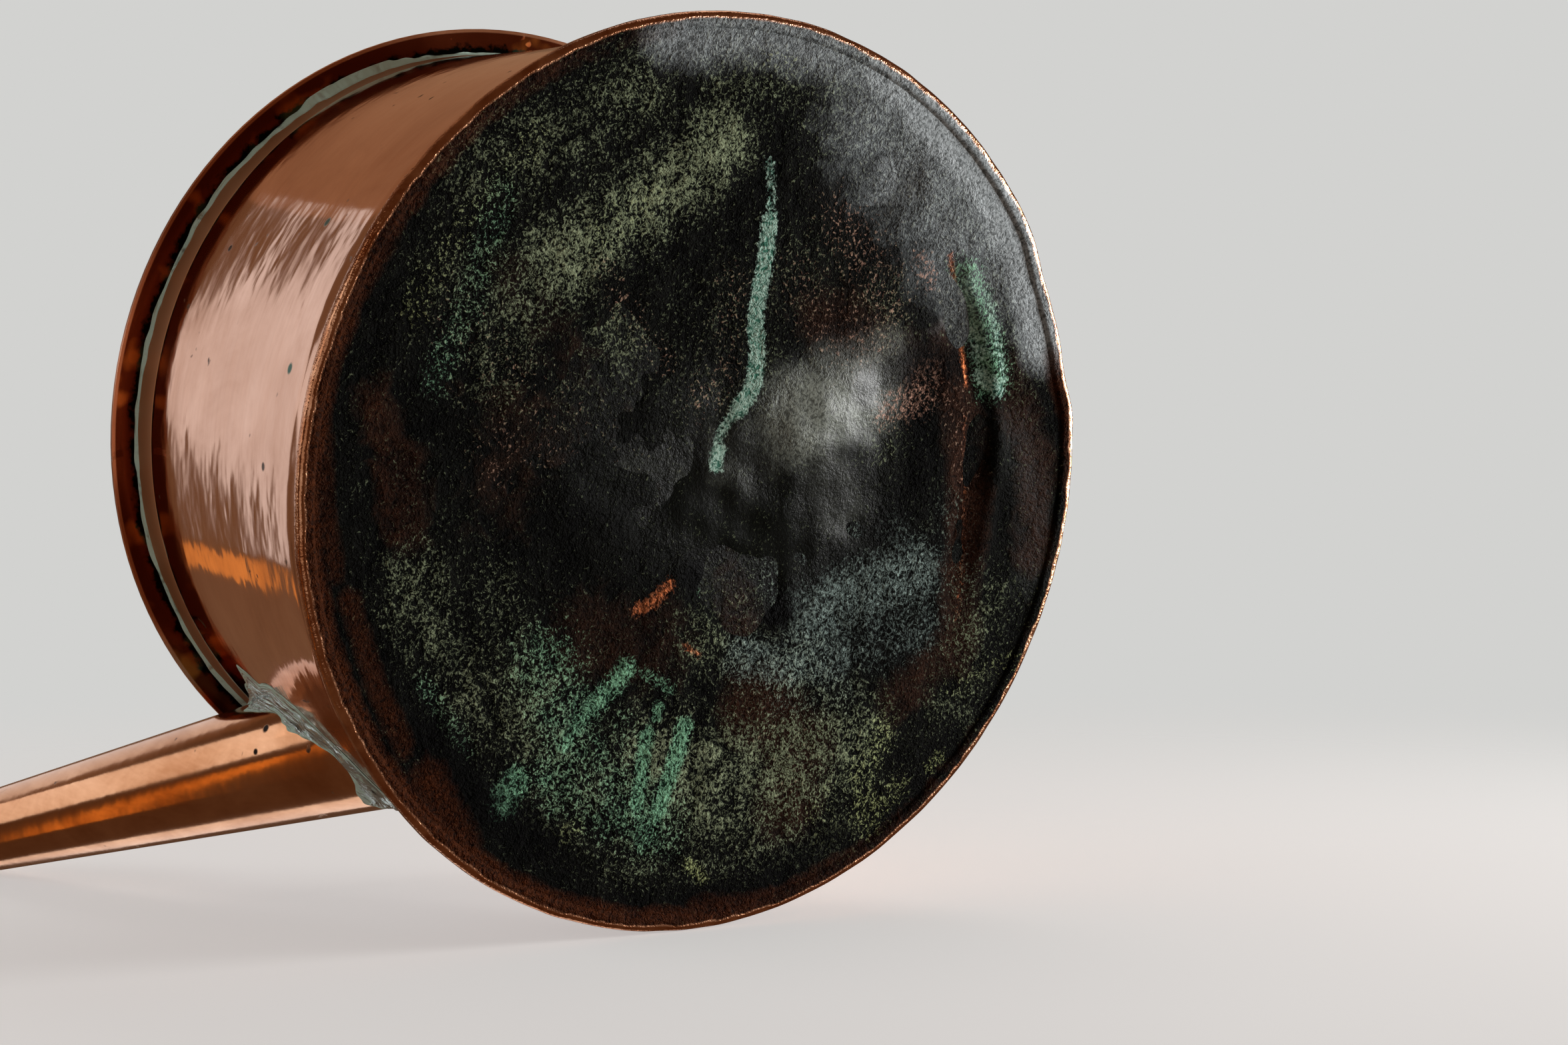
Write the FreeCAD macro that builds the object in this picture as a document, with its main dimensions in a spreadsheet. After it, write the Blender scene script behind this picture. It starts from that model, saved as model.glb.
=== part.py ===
# Old copper kettle: a flared drum of sheet copper with a seamed foot, a domed shoulder that
# overhangs the drum, a straight tapered spout, a loose lid and a swing handle.
# Millimetres, +Z up. The origin is the middle of the foot's standing plane; the spout points to -X.
import FreeCAD, Part
import math
import os
import Sketcher

os.makedirs("parts", exist_ok=True)
doc = FreeCAD.newDocument("CopperKettle")

# Driving dimensions
SIZES = [
    ("sheet", "1.2", "thickness of the sheet copper"),
    ("shoulder_sheet", "1.0", "thickness of the shoulder sheet"),
    ("seam_radius", "110", "outside radius of the folded foot seam"),
    ("seam_lap", "2.6", "reach of the fold over the drum's foot flange"),
    ("seam_step", "0.8", "height of the base sheet just inside the seam"),
    ("base_rise", "3.0", "height of the base sheet at its middle"),
    ("foot_inset", "4.2", "step in from the seam to the drum above its flare"),
    ("flare_height", "14", "height where the foot flare ends"),
    ("flare_curve", "68", "radius of the foot flare"),
    ("drum_curve", "1200", "radius of the drum's hollow side"),
    ("drum_taper", "7.9", "step in from the drum's foot to its top"),
    ("cove_height", "9", "height of the cove between the crease and the drum's top"),
    ("cove_curve", "20", "radius of the cove above the crease"),
    ("drum_height", "116", "height of the drum's top edge"),
    ("overhang", "6.6", "reach of the shoulder over the drum's top"),
    ("dome_inset", "1.9", "step in from the drum's top to the shoulder's rise"),
    ("dome_rise", "26", "height of the shoulder's dome"),
    ("dome_curve", "70", "outside radius of the dome's arc"),
    ("neck_inset", "43.4", "step in from the drum's top to the neck"),
    ("neck_blend", "3", "size of the bend from the dome to the neck"),
    ("neck_height", "10", "height of the neck above the dome"),
    ("neck_bead", "1.2", "radius of the bead round the mouth"),
    ("lid_overhang", "4", "reach of the lid over the neck"),
    ("lid_seat", "8", "width of the lid's flat rim"),
    ("lid_rise", "11", "height of the lid's dome"),
    ("collar_gap", "0.6", "clearance of the lid's collar in the neck"),
    ("collar_depth", "10", "depth of the lid's collar"),
    ("knob_stem", "2.5", "radius of the knob's stem"),
    ("knob_waist", "4.2", "radius of the knob's waist"),
    ("knob_radius", "10.5", "radius of the knob's ball"),
    ("knob_lift", "14.5", "height of the ball's middle above the lid"),
    ("spout_tilt", "63.6", "rise of the spout above level, in degrees"),
    ("spout_drop", "44", "step down from the drum's top to the spout's axis at the drum"),
    ("spout_root", "16.6", "outside radius of the spout at the drum"),
    ("spout_tip", "10.4", "outside radius of the spout at its mouth"),
    ("spout_length", "142", "length of the spout from the drum's face"),
    ("spout_sink", "48", "length of the blank trimmed off at the drum"),
    ("solder_leg", "3", "thickness of the solder on the drum and on the spout"),
    ("corner_solder", "2", "width of the solder under the overhang"),
    ("hinge_lift", "3", "height of the handle's hinge axis above the dome"),
    ("handle_side", "10", "step out from an ear's inner face to the handle's leg"),
    ("rod_radius", "3.7", "radius of the handle's rod"),
    ("rod_bend", "6.5", "radius of the bends at the handle's ends"),
    ("handle_overhang", "3.5", "reach of the handle's arch past the shoulder's edge"),
    ("hinge_gap", "0.5", "clearance of the rod in its ear"),
    ("rest_gap", "0.3", "clearance of the lowered handle over the shoulder"),
    ("ear_inset", "22.9", "step in from the drum's top to an ear's inner face"),
    ("ear_plate", "2.5", "thickness of an ear's upright"),
    ("ear_width", "22", "width of an ear"),
    ("ear_foot", "2", "thickness of an ear's foot"),
    ("ear_foot_inset", "3.9", "step in from the drum's top to the end of an ear's foot"),
    ("rivet_radius", "2", "radius of a rivet's shank"),
    ("rivet_head", "3.8", "radius of a rivet's head"),
    ("rivet_inset", "10.9", "step in from the drum's top to the rivets"),
    ("rivet_spread", "6", "half the distance between an ear's rivets"),
]
sheet = doc.addObject("Spreadsheet::Sheet", "Sizes")
for row, (alias, number, meaning) in enumerate(SIZES, start=1):
    sheet.set(f"A{row}", number)
    sheet.setAlias(f"A{row}", alias)
    sheet.set(f"B{row}", meaning)
doc.recompute()


def value(expression):
    """The number that an expression of the sheet gives."""
    return float(getattr(result := sheet.evalExpression(expression), "Value", result))


# Values that follow from the driving dimensions
SEAM_TOP = "(3 * Sizes.sheet)"
CREASE = "(Sizes.drum_height - Sizes.cove_height)"
SPOUT_Z = "(Sizes.drum_height - Sizes.spout_drop)"
SEAM = "Sizes.seam_radius"
FOOT = f"({SEAM} - Sizes.foot_inset)"
WAIST = f"({FOOT} - Sizes.drum_taper)"
FLANGE_EDGE = f"({WAIST} + Sizes.overhang)"
DOME_FOOT = f"({WAIST} - Sizes.dome_inset)"
NECK = f"({WAIST} - Sizes.neck_inset)"
LID_EDGE = f"({NECK} + Sizes.lid_overhang)"
EAR_INNER = f"({WAIST} - Sizes.ear_inset)"
EAR_FOOT_END = f"({WAIST} - Sizes.ear_foot_inset)"
RIVET_RING = f"({WAIST} - Sizes.rivet_inset)"
FLANGE_TOP = "(Sizes.drum_height + Sizes.shoulder_sheet)"
DOME_TOP = f"({FLANGE_TOP} + Sizes.dome_rise)"
NECK_TOP = f"({DOME_TOP} + Sizes.neck_height)"
NECK_INNER = f"({NECK} - Sizes.shoulder_sheet)"
HINGE = f"({DOME_TOP} + Sizes.hinge_lift)"
LEG = f"({EAR_INNER} + Sizes.handle_side)"
ARCH_TOP = f"({FLANGE_EDGE} + Sizes.handle_overhang)"
DRUM_SLOPE = f"(Sizes.drum_taper / ({CREASE} - Sizes.flare_height))"
SPOUT_SEAT = f"({FOOT} - {DRUM_SLOPE} * ({SPOUT_Z} - Sizes.flare_height))"
SPOUT_TAPER = "((Sizes.spout_root - Sizes.spout_tip) / Sizes.spout_length)"
SPOUT_BACK = f"(Sizes.spout_root + {SPOUT_TAPER} * Sizes.spout_sink)"
REST_DROP = (
    f"asin(({HINGE} - {FLANGE_TOP} - Sizes.rod_radius - Sizes.rest_gap) / {ARCH_TOP})"
)


def new_body(label):
    body = doc.addObject("PartDesign::Body", label + "_body")
    body.Label = label
    return body


def plane_of(body, role):
    return next(feature for feature in body.Origin.OriginFeatures if feature.Role == role)


def arc_between(start, end, radius):
    """An arc from start to end; a positive radius bulges to the left of the run."""
    chord = end.sub(start)
    half = chord.Length / 2
    sag = abs(radius) - math.sqrt(max(radius * radius - half * half, 0.0))
    left = FreeCAD.Vector(-chord.y, chord.x, 0).normalize()
    middle = (start + end) * 0.5 + left * (sag if radius > 0 else -sag)
    return Part.Arc(start, middle, end) if radius < 0 else Part.Arc(end, middle, start)


def add_sketch(body, name, corners, plane="XZ_Plane", closed=True):
    """An outline through the corners. A corner is (across, up) or (across, up, bulge) as expressions:
    with a bulge, the run to the next corner is an arc of that radius, to the left if positive."""
    outline = body.newObject("Sketcher::SketchObject", name)
    outline.AttachmentSupport = (plane_of(body, plane), [""])
    outline.MapMode = "FlatFace"
    places = [FreeCAD.Vector(value(corner[0]), value(corner[1]), 0) for corner in corners]
    runs = len(corners) if closed else len(corners) - 1
    ends = []
    for index in range(runs):
        start, end = places[index], places[(index + 1) % len(corners)]
        if len(corners[index]) == 2:
            outline.addGeometry(Part.LineSegment(start, end))
            ends.append((1, 2))
            continue
        bulge = corners[index][2]
        outline.addGeometry(arc_between(start, end, value(bulge)))
        # An arc runs anticlockwise in a sketch, so one that bulges left starts at its far end
        ends.append((2, 1) if value(bulge) > 0 else (1, 2))
        size_index = outline.addConstraint(Sketcher.Constraint("Radius", index, abs(value(bulge))))
        outline.renameConstraint(size_index, f"bulge{index}")
        outline.setExpression(f"Constraints.bulge{index}", f"abs({bulge})")
    for index in range(runs):
        following = (index + 1) % runs
        if closed or following:
            outline.addConstraint(
                Sketcher.Constraint("Coincident", index, ends[index][1], following, ends[following][0])
            )
    for index, corner in enumerate(corners):
        run = min(index, runs - 1)
        end = ends[run][0] if index < runs else ends[run][1]
        for kind, axis, expression in (("DistanceX", -2, corner[0]), ("DistanceY", -1, corner[1])):
            if expression == "0":
                outline.addConstraint(Sketcher.Constraint("PointOnObject", run, end, axis))
                continue
            place = outline.addConstraint(Sketcher.Constraint(kind, run, end, value(expression)))
            outline.renameConstraint(place, f"{kind}{index}")
            outline.setExpression(f"Constraints.{kind}{index}", expression)
    return outline


def add_turned(body, name, corners, angle=360):
    """A turned form about Z from its half section."""
    turned = body.newObject("PartDesign::Revolution", name)
    section = add_sketch(body, name + "_section", corners)
    turned.Profile = section
    turned.ReferenceAxis = (section, ["V_Axis"])
    turned.Angle = angle
    turned.Midplane = angle < 360
    body.Tip = turned
    return turned


def add_boolean(kind, name, base, tool):
    result = doc.addObject("Part::" + kind, name)
    result.Base = base
    result.Tool = tool
    return result


def across(place, change):
    return f"({place} + {change})"


# The drum: one sheet rolled round, flared at the foot and creased under the shoulder
DRUM_FACE = [
    (across(SEAM, "0 - Sizes.sheet - 0.1"), "2 * Sizes.sheet"),
    (across(SEAM, "0 - Sizes.seam_lap - 0.1"), "2 * Sizes.sheet", "Sizes.flare_curve"),
    (FOOT, "Sizes.flare_height", "Sizes.drum_curve"),
    (WAIST, CREASE, "Sizes.cove_curve"),
    (WAIST, "Sizes.drum_height"),
]
DRUM_BACK = [
    (across(WAIST, "0 - Sizes.sheet"), "Sizes.drum_height", "0 - Sizes.cove_curve - Sizes.sheet"),
    (across(WAIST, "0 - Sizes.sheet"), CREASE, "0 - Sizes.drum_curve"),
    (across(FOOT, "0 - Sizes.sheet"), "Sizes.flare_height", "0 - Sizes.flare_curve"),
    (across(SEAM, "0 - Sizes.seam_lap - Sizes.sheet - 0.1"), "2 * Sizes.sheet"),
    (across(SEAM, "0 - Sizes.seam_lap - Sizes.sheet + 0.5"), "Sizes.sheet"),
    (across(SEAM, "0 - Sizes.sheet - 0.1"), "Sizes.sheet"),
]
drum_blank_body = new_body("drum_blank")
add_turned(drum_blank_body, "drum_shell", DRUM_FACE + DRUM_BACK)

drum_core_body = new_body("drum_core")
add_turned(
    drum_core_body,
    "drum_solid",
    DRUM_FACE + [("0", "Sizes.drum_height"), ("0", "Sizes.sheet"), DRUM_BACK[-1]],
)


# The spout: a straight tapered tube, trimmed to the drum's face
def spout_cone(name, inset):
    """A cone along the spout's axis, smaller than the spout's outside by the inset."""
    cone = doc.addObject("Part::Cone", name)
    cone.setExpression("Radius1", f"{SPOUT_BACK} - {inset}")
    cone.setExpression("Radius2", f"Sizes.spout_tip - {inset}")
    cone.setExpression("Height", "Sizes.spout_length + Sizes.spout_sink")
    back_x = f"Sizes.spout_sink * cos(Sizes.spout_tilt * 1deg) - {SPOUT_SEAT}"
    back_z = f"{SPOUT_Z} - Sizes.spout_sink * sin(Sizes.spout_tilt * 1deg)"
    turn = "rotation(vector(0; 1; 0); Sizes.spout_tilt - 90)"
    cone.setExpression("Placement", f"placement(vector({back_x}; 0; {back_z}); {turn})")
    return cone


spout_outside = spout_cone("spout_outside", "0")
spout_bore = spout_cone("spout_bore", "Sizes.sheet")
spout_tube = add_boolean("Cut", "spout_tube", spout_outside, spout_bore)
spout = add_boolean("Cut", "spout_trimmed", spout_tube, drum_core_body)
spout.Label = "spout"

body_wall = add_boolean("Cut", "drum_pierced", drum_blank_body, spout_bore)
body_wall.Label = "body_wall"

# The solder round the spout's root fills the corner where it is near both the drum and the spout
solder_skin_body = new_body("solder_skin")
add_turned(
    solder_skin_body,
    "solder_skin_solid",
    [
        (across(FOOT, "Sizes.solder_leg"), "Sizes.flare_height", "Sizes.drum_curve"),
        (across(WAIST, "Sizes.solder_leg"), CREASE, "Sizes.cove_curve"),
        (across(WAIST, "Sizes.solder_leg"), "Sizes.drum_height"),
        ("0", "Sizes.drum_height"),
        ("0", "Sizes.flare_height"),
    ],
)
spout_collar = spout_cone("spout_collar", "(0 - Sizes.solder_leg)")
solder_block = add_boolean("Common", "solder_block", solder_skin_body, spout_collar)
solder_off_drum = add_boolean("Cut", "solder_off_drum", solder_block, drum_core_body)
spout_solder = add_boolean("Cut", "solder_ring", solder_off_drum, spout_outside)
spout_solder.Label = "spout_solder"

# The base: a sheet with its edge folded up and over the drum's foot flange
BASE_EDGE = across(SEAM, "0 - 4.2")
BASE_SAG = "(Sizes.base_rise - Sizes.seam_step)"
BASE_CURVE = f"(({BASE_EDGE}^2 + {BASE_SAG}^2) / (2 * {BASE_SAG}))"
BASE_INNER_EDGE = across(SEAM, "0 - 4.6")
base_pan = new_body("base_pan")
add_turned(
    base_pan,
    "base_sheet",
    [
        ("0", "Sizes.base_rise", BASE_CURVE),
        (BASE_EDGE, "Sizes.seam_step"),
        (across(SEAM, "0 - 3.4"), "0"),
        (across(SEAM, "0 - Sizes.sheet"), "0", "0 - Sizes.sheet"),
        ("Sizes.seam_radius", "Sizes.sheet"),
        ("Sizes.seam_radius", "2 * Sizes.sheet", "0 - Sizes.sheet"),
        (across(SEAM, "0 - Sizes.sheet"), SEAM_TOP),
        (across(SEAM, "0 - Sizes.seam_lap"), SEAM_TOP),
        (across(SEAM, "0 - Sizes.seam_lap"), "2 * Sizes.sheet"),
        (across(SEAM, "0 - Sizes.sheet"), "2 * Sizes.sheet"),
        (across(SEAM, "0 - Sizes.sheet"), "Sizes.sheet"),
        (across(SEAM, "0 - 3.8"), "Sizes.sheet"),
        (
            BASE_INNER_EDGE,
            f"Sizes.base_rise - {BASE_CURVE} + sqrt(({BASE_CURVE} + Sizes.sheet)^2 - {BASE_INNER_EDGE}^2)",
            f"0 - ({BASE_CURVE} + Sizes.sheet)",
        ),
        ("0", "Sizes.base_rise + Sizes.sheet"),
    ],
)

# The shoulder: a domed sheet that overhangs the drum and is drawn up into the neck
DOME_SIDE = across(NECK, "Sizes.neck_blend")
shoulder_blank = new_body("shoulder_blank")
add_turned(
    shoulder_blank,
    "shoulder_sheet_form",
    [
        (FLANGE_EDGE, "Sizes.drum_height"),
        (FLANGE_EDGE, FLANGE_TOP),
        (DOME_FOOT, FLANGE_TOP, "0 - Sizes.dome_curve"),
        (DOME_SIDE, DOME_TOP, "Sizes.neck_blend * 1.2"),
        (NECK, f"{DOME_TOP} + Sizes.neck_blend"),
        (NECK, f"{NECK_TOP} - 2 * Sizes.neck_bead", "0 - 1.02 * Sizes.neck_bead"),
        (NECK, NECK_TOP),
        (NECK_INNER, NECK_TOP),
        (NECK_INNER, f"{DOME_TOP} + Sizes.neck_blend", "0 - (Sizes.neck_blend * 1.2 + Sizes.shoulder_sheet)"),
        (
            f"{DOME_SIDE} - 0.5 * Sizes.shoulder_sheet",
            f"{DOME_TOP} - Sizes.shoulder_sheet",
            "Sizes.dome_curve - Sizes.shoulder_sheet",
        ),
        (across(DOME_FOOT, "0 - 0.4"), "Sizes.drum_height"),
    ],
)

# The solder line in the corner under the overhang
shoulder_solder = new_body("shoulder_solder")
add_turned(
    shoulder_solder,
    "corner_fillet",
    [
        (WAIST, "Sizes.drum_height - Sizes.corner_solder * 1.2"),
        (across(WAIST, "Sizes.corner_solder"), "Sizes.drum_height"),
        (WAIST, "Sizes.drum_height"),
    ],
)

# The lid: a domed sheet with a flat rim on the neck, and a collar inside the neck
LID_TOP = f"({NECK_TOP} + Sizes.sheet + Sizes.lid_rise)"
LID_DOME = across(LID_EDGE, "0 - Sizes.lid_seat")
LID_DEPTH = f"(({LID_DOME}^2 - Sizes.knob_stem^2 + Sizes.lid_rise^2) / (2 * Sizes.lid_rise))"
LID_CURVE = f"sqrt(Sizes.knob_stem^2 + {LID_DEPTH}^2)"
lid = new_body("lid")
add_turned(
    lid,
    "lid_sheet",
    [
        ("Sizes.knob_stem", f"{LID_TOP} - Sizes.sheet", LID_CURVE),
        (LID_DOME, NECK_TOP),
        (across(LID_EDGE, "0 - 0.5 * Sizes.sheet"), NECK_TOP, "0 - 0.51 * Sizes.sheet"),
        (across(LID_EDGE, "0 - 0.5 * Sizes.sheet"), f"{NECK_TOP} + Sizes.sheet"),
        (LID_DOME, f"{NECK_TOP} + Sizes.sheet", f"0 - {LID_CURVE}"),
        ("Sizes.knob_stem", LID_TOP),
    ],
)
lid_collar = new_body("lid_collar")
COLLAR_OUT = f"({NECK_INNER} - Sizes.collar_gap)"
add_turned(
    lid_collar,
    "collar_ring",
    [
        (COLLAR_OUT, f"{NECK_TOP} - Sizes.collar_depth"),
        (COLLAR_OUT, NECK_TOP),
        (f"{COLLAR_OUT} - Sizes.shoulder_sheet", NECK_TOP),
        (f"{COLLAR_OUT} - Sizes.shoulder_sheet", f"{NECK_TOP} - Sizes.collar_depth"),
    ],
)

# The knob: a turned ball on a waist, its stem riveted over under the lid
KNOB_MIDDLE = f"({LID_TOP} + Sizes.knob_lift)"
lid_knob = new_body("lid_knob")
add_turned(
    lid_knob,
    "knob_form",
    [
        ("0", f"{LID_TOP} - Sizes.sheet - 1.6"),
        ("1.5 * Sizes.knob_stem", f"{LID_TOP} - Sizes.sheet - 1.6"),
        ("1.8 * Sizes.knob_stem", f"{LID_TOP} - Sizes.sheet - 1"),
        ("1.8 * Sizes.knob_stem", f"{LID_TOP} - Sizes.sheet - 0.1"),
        ("Sizes.knob_stem", f"{LID_TOP} - Sizes.sheet - 0.1"),
        ("Sizes.knob_stem", LID_TOP),
        ("1.8 * Sizes.knob_waist", LID_TOP),
        ("1.8 * Sizes.knob_waist", f"{LID_TOP} + 1.4"),
        ("Sizes.knob_waist", f"{LID_TOP} + 2.6"),
        (
            "Sizes.knob_waist",
            f"{KNOB_MIDDLE} - sqrt(Sizes.knob_radius^2 - Sizes.knob_waist^2)",
            "0 - Sizes.knob_radius",
        ),
        ("0", f"{KNOB_MIDDLE} + Sizes.knob_radius"),
    ],
)

# The ears: a foot bent to the dome, with an upright that carries the handle
DOME_CHORD = f"sqrt(({DOME_SIDE} - {DOME_FOOT})^2 + Sizes.dome_rise^2)"
DOME_DEPTH = f"sqrt(Sizes.dome_curve^2 - ({DOME_CHORD} / 2)^2)"
DOME_X = f"(({DOME_SIDE} + {DOME_FOOT}) / 2 - Sizes.dome_rise / ({DOME_CHORD}) * {DOME_DEPTH})"
DOME_LEAN = f"(({DOME_FOOT} - {DOME_SIDE}) / ({DOME_CHORD}))"
DOME_Z = f"({FLANGE_TOP} + Sizes.dome_rise / 2 - {DOME_LEAN} * {DOME_DEPTH})"


def on_dome(radius, lift="0"):
    """Height of the dome's face, or of a face that lies a lift above it, at a radius."""
    return f"({DOME_Z} + sqrt((Sizes.dome_curve + {lift})^2 - ({radius} - {DOME_X})^2))"


RIVET_LEAN = f"asin(({RIVET_RING} - {DOME_X}) / Sizes.dome_curve)"
RIVET_TURN = f"asin(Sizes.rivet_spread / {RIVET_RING})"


def rivet_place(side, spread, depth):
    """Placement of a rivet, square to the dome, sunk by a depth below the dome's face."""
    x = f"{RIVET_RING} - {depth} * sin({RIVET_LEAN})"
    z = f"{on_dome(RIVET_RING)} - {depth} * cos({RIVET_LEAN})"
    half_turn = 180 if side < 0 else 0
    swing = f"placement(vector(0; 0; 0); rotation(vector(0; 0; 1); {half_turn}deg + {spread} * {RIVET_TURN}))"
    return f"{swing} * placement(vector({x}; 0; {z}); rotation(vector(0; 1; 0); {RIVET_LEAN}))"


def rivet_holes(name, side):
    """Two cylinders that clear an ear's rivets."""
    holes = []
    for spread in (-1, 1):
        hole = doc.addObject("Part::Cylinder", f"{name}_{'left' if spread < 0 else 'right'}")
        hole.setExpression("Radius", "Sizes.rivet_radius")
        hole.setExpression("Height", "4 * Sizes.ear_foot + 2 * Sizes.shoulder_sheet")
        hole.setExpression("Placement", rivet_place(side, spread, "(2 * Sizes.ear_foot)"))
        holes.append(hole)
    return add_boolean("Fuse", name, *holes)


EAR_HALF_ANGLE = f"asin(0.5 * Sizes.ear_width / {RIVET_RING})"


def make_ear(label, side):
    blank = new_body(label + "_blank")
    foot = add_turned(
        blank,
        label + "_foot",
        [
            (EAR_INNER, on_dome(EAR_INNER), "Sizes.dome_curve"),
            (EAR_FOOT_END, on_dome(EAR_FOOT_END)),
            (
                EAR_FOOT_END,
                on_dome(EAR_FOOT_END, "Sizes.ear_foot"),
                "0 - (Sizes.dome_curve + Sizes.ear_foot)",
            ),
            (EAR_INNER, on_dome(EAR_INNER, "Sizes.ear_foot")),
        ],
        angle=value(f"2 * {EAR_HALF_ANGLE}"),
    )
    foot.setExpression("Angle", f"2 * {EAR_HALF_ANGLE}")
    lobe_foot = f"({on_dome(EAR_INNER)} + 0.1)"
    half = "(0.5 * Sizes.ear_width)"
    outline = add_sketch(
        blank,
        label + "_upright_outline",
        [
            (f"0 - {half}", lobe_foot),
            (half, lobe_foot),
            (f"0.74 * {half}", HINGE, f"0 - 0.76 * {half}"),
            (f"0 - 0.74 * {half}", HINGE),
        ],
        plane="YZ_Plane",
    )
    outline.setExpression(".AttachmentOffset.Base.z", EAR_INNER)
    upright = blank.newObject("PartDesign::Pad", label + "_upright")
    upright.Profile = outline
    upright.setExpression("Length", "Sizes.ear_plate")
    eye = blank.newObject("PartDesign::SubtractiveCylinder", label + "_eye")
    eye.setExpression("Radius", "Sizes.rod_radius + Sizes.hinge_gap")
    eye.setExpression("Height", "3 * Sizes.ear_plate")
    eye.setExpression(
        "Placement",
        f"placement(vector({EAR_INNER} - Sizes.ear_plate; 0; {HINGE}); "
        "rotation(vector(0; 1; 0); 90))",
    )
    blank.Tip = eye
    if side < 0:
        blank.Placement = FreeCAD.Placement(FreeCAD.Vector(), FreeCAD.Rotation(FreeCAD.Vector(0, 0, 1), 180))
    holes = rivet_holes(label + "_holes", side)
    ear = add_boolean("Cut", label + "_pierced", blank, holes)
    ear.Label = label
    return ear, holes


front_ear, front_holes = make_ear("front_ear", -1)
rear_ear, rear_holes = make_ear("rear_ear", 1)
shoulder_part = add_boolean("Cut", "shoulder_front", shoulder_blank, front_holes)
shoulder = add_boolean("Cut", "shoulder_pierced", shoulder_part, rear_holes)
shoulder.Label = "shoulder"


# The rivets: shank through ear and shoulder, a round head outside and a flat one inside
def make_rivet(name, side, spread):
    rivet = new_body(name)
    grip = "(Sizes.ear_foot + Sizes.shoulder_sheet + 0.12)"
    add_turned(
        rivet,
        name + "_form",
        [
            ("0", "0"),
            ("Sizes.rivet_head", "0"),
            ("Sizes.rivet_head", "0.8"),
            ("Sizes.rivet_radius", "0.8"),
            ("Sizes.rivet_radius", f"0.8 + {grip}"),
            ("Sizes.rivet_head", f"0.8 + {grip}", "0 - Sizes.rivet_head * (1 + 0.6^2) / 1.2"),
            ("0", f"0.8 + {grip} + 0.6 * Sizes.rivet_head"),
        ],
    )
    rivet.setExpression("Placement", rivet_place(side, spread, "(Sizes.shoulder_sheet + 0.92)"))
    return rivet


ear_rivets = doc.addObject("Part::Compound", "ear_rivet_set")
ear_rivets.Label = "ear_rivets"
ear_rivets.Links = [
    make_rivet("front_rivet_left", -1, -1),
    make_rivet("front_rivet_right", -1, 1),
    make_rivet("rear_rivet_left", 1, -1),
    make_rivet("rear_rivet_right", 1, 1),
]

# The handle: one round rod, bent to an arch, its ends turned in through the ears
bail_handle = new_body("bail_handle")
HEAD_WIDTH = "2"
END_X = f"({EAR_INNER} - 2 * Sizes.hinge_gap)"
ARCH_FOOT = f"({ARCH_TOP} - {LEG})"
bail_route = add_sketch(
    bail_handle,
    "handle_route",
    [
        (f"0 - {END_X}", "0"),
        (f"Sizes.rod_bend - {LEG}", "0", "Sizes.rod_bend"),
        (f"0 - {LEG}", "Sizes.rod_bend"),
        (f"0 - {LEG}", ARCH_FOOT, LEG),
        ("0", ARCH_TOP, LEG),
        (LEG, ARCH_FOOT),
        (LEG, "Sizes.rod_bend", "Sizes.rod_bend"),
        (f"{LEG} - Sizes.rod_bend", "0"),
        (END_X, "0"),
    ],
    closed=False,
)
bail_section = bail_handle.newObject("Sketcher::SketchObject", "handle_section")
bail_section.AttachmentSupport = (plane_of(bail_handle, "YZ_Plane"), [""])
bail_section.MapMode = "FlatFace"
bail_section.setExpression(".AttachmentOffset.Base.z", f"0 - {END_X}")
bail_section.addGeometry(Part.Circle(FreeCAD.Vector(), FreeCAD.Vector(0, 0, 1), value("Sizes.rod_radius")))
bail_section.addConstraint(Sketcher.Constraint("Coincident", 0, 3, -1, 1))
bail_section.addConstraint(Sketcher.Constraint("Radius", 0, value("Sizes.rod_radius")))
bail_section.renameConstraint(1, "rod")
bail_section.setExpression("Constraints.rod", "Sizes.rod_radius")
rod = bail_handle.newObject("PartDesign::AdditivePipe", "handle_rod")
rod.Profile = bail_section
rod.Spine = (bail_route, [f"Edge{number}" for number in range(1, 9)])
for name, place_x in (("handle_head_front", f"0 - {END_X}"), ("handle_head_rear", f"{END_X} - {HEAD_WIDTH}")):
    head = bail_handle.newObject("PartDesign::AdditiveCylinder", name)
    head.setExpression("Radius", "Sizes.rod_radius + 2.2")
    head.setExpression("Height", HEAD_WIDTH)
    head.setExpression("Placement", f"placement(vector({place_x}; 0; 0); rotation(vector(0; 1; 0); 90))")
    bail_handle.Tip = head
bail_handle.setExpression(
    "Placement",
    f"placement(vector(0; 0; {HINGE}); rotation(vector(1; 0; 0); 0deg - 90deg - {REST_DROP}))",
)

NODES = [
    body_wall,
    base_pan,
    shoulder,
    shoulder_solder,
    spout,
    spout_solder,
    lid,
    lid_collar,
    lid_knob,
    front_ear,
    rear_ear,
    ear_rivets,
    bail_handle,
]

doc.recompute()
for item in doc.Objects:
    if "Invalid" in item.State or "Error" in item.State:
        raise RuntimeError(f"{item.Name} failed: {item.State}")
for node in NODES:
    if node.Shape.isNull() or not node.Shape.isValid() or not node.Shape.Solids:
        raise RuntimeError(f"{node.Label} has no valid solid")
for node in NODES:
    box = node.Shape.optimalBoundingBox()
    print(
        f"{node.Label}: {len(node.Shape.Solids)} solid, {node.Shape.Volume / 1000:.1f} cm3, "
        f"x {box.XMin:.1f}..{box.XMax:.1f} y {box.YMin:.1f}..{box.YMax:.1f} z {box.ZMin:.1f}..{box.ZMax:.1f}"
    )
    node.Shape.exportStep(f"parts/{node.Label}.step")
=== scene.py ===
# %% [markdown]
# # An old copper kettle, dressed over its measured frame
# The frame has every sheet, rod and rivet at its true size. What it lacks is age: a drum polished
# and knocked for years, a base burnt black over the fire, solder wiped on by hand. This lesson adds
# those, one piece and one finish at a time. The frame's own pieces are never moved: a piece whose
# form is right gets a finish, and one whose surface is worn gets a worn copy in its place.

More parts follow.
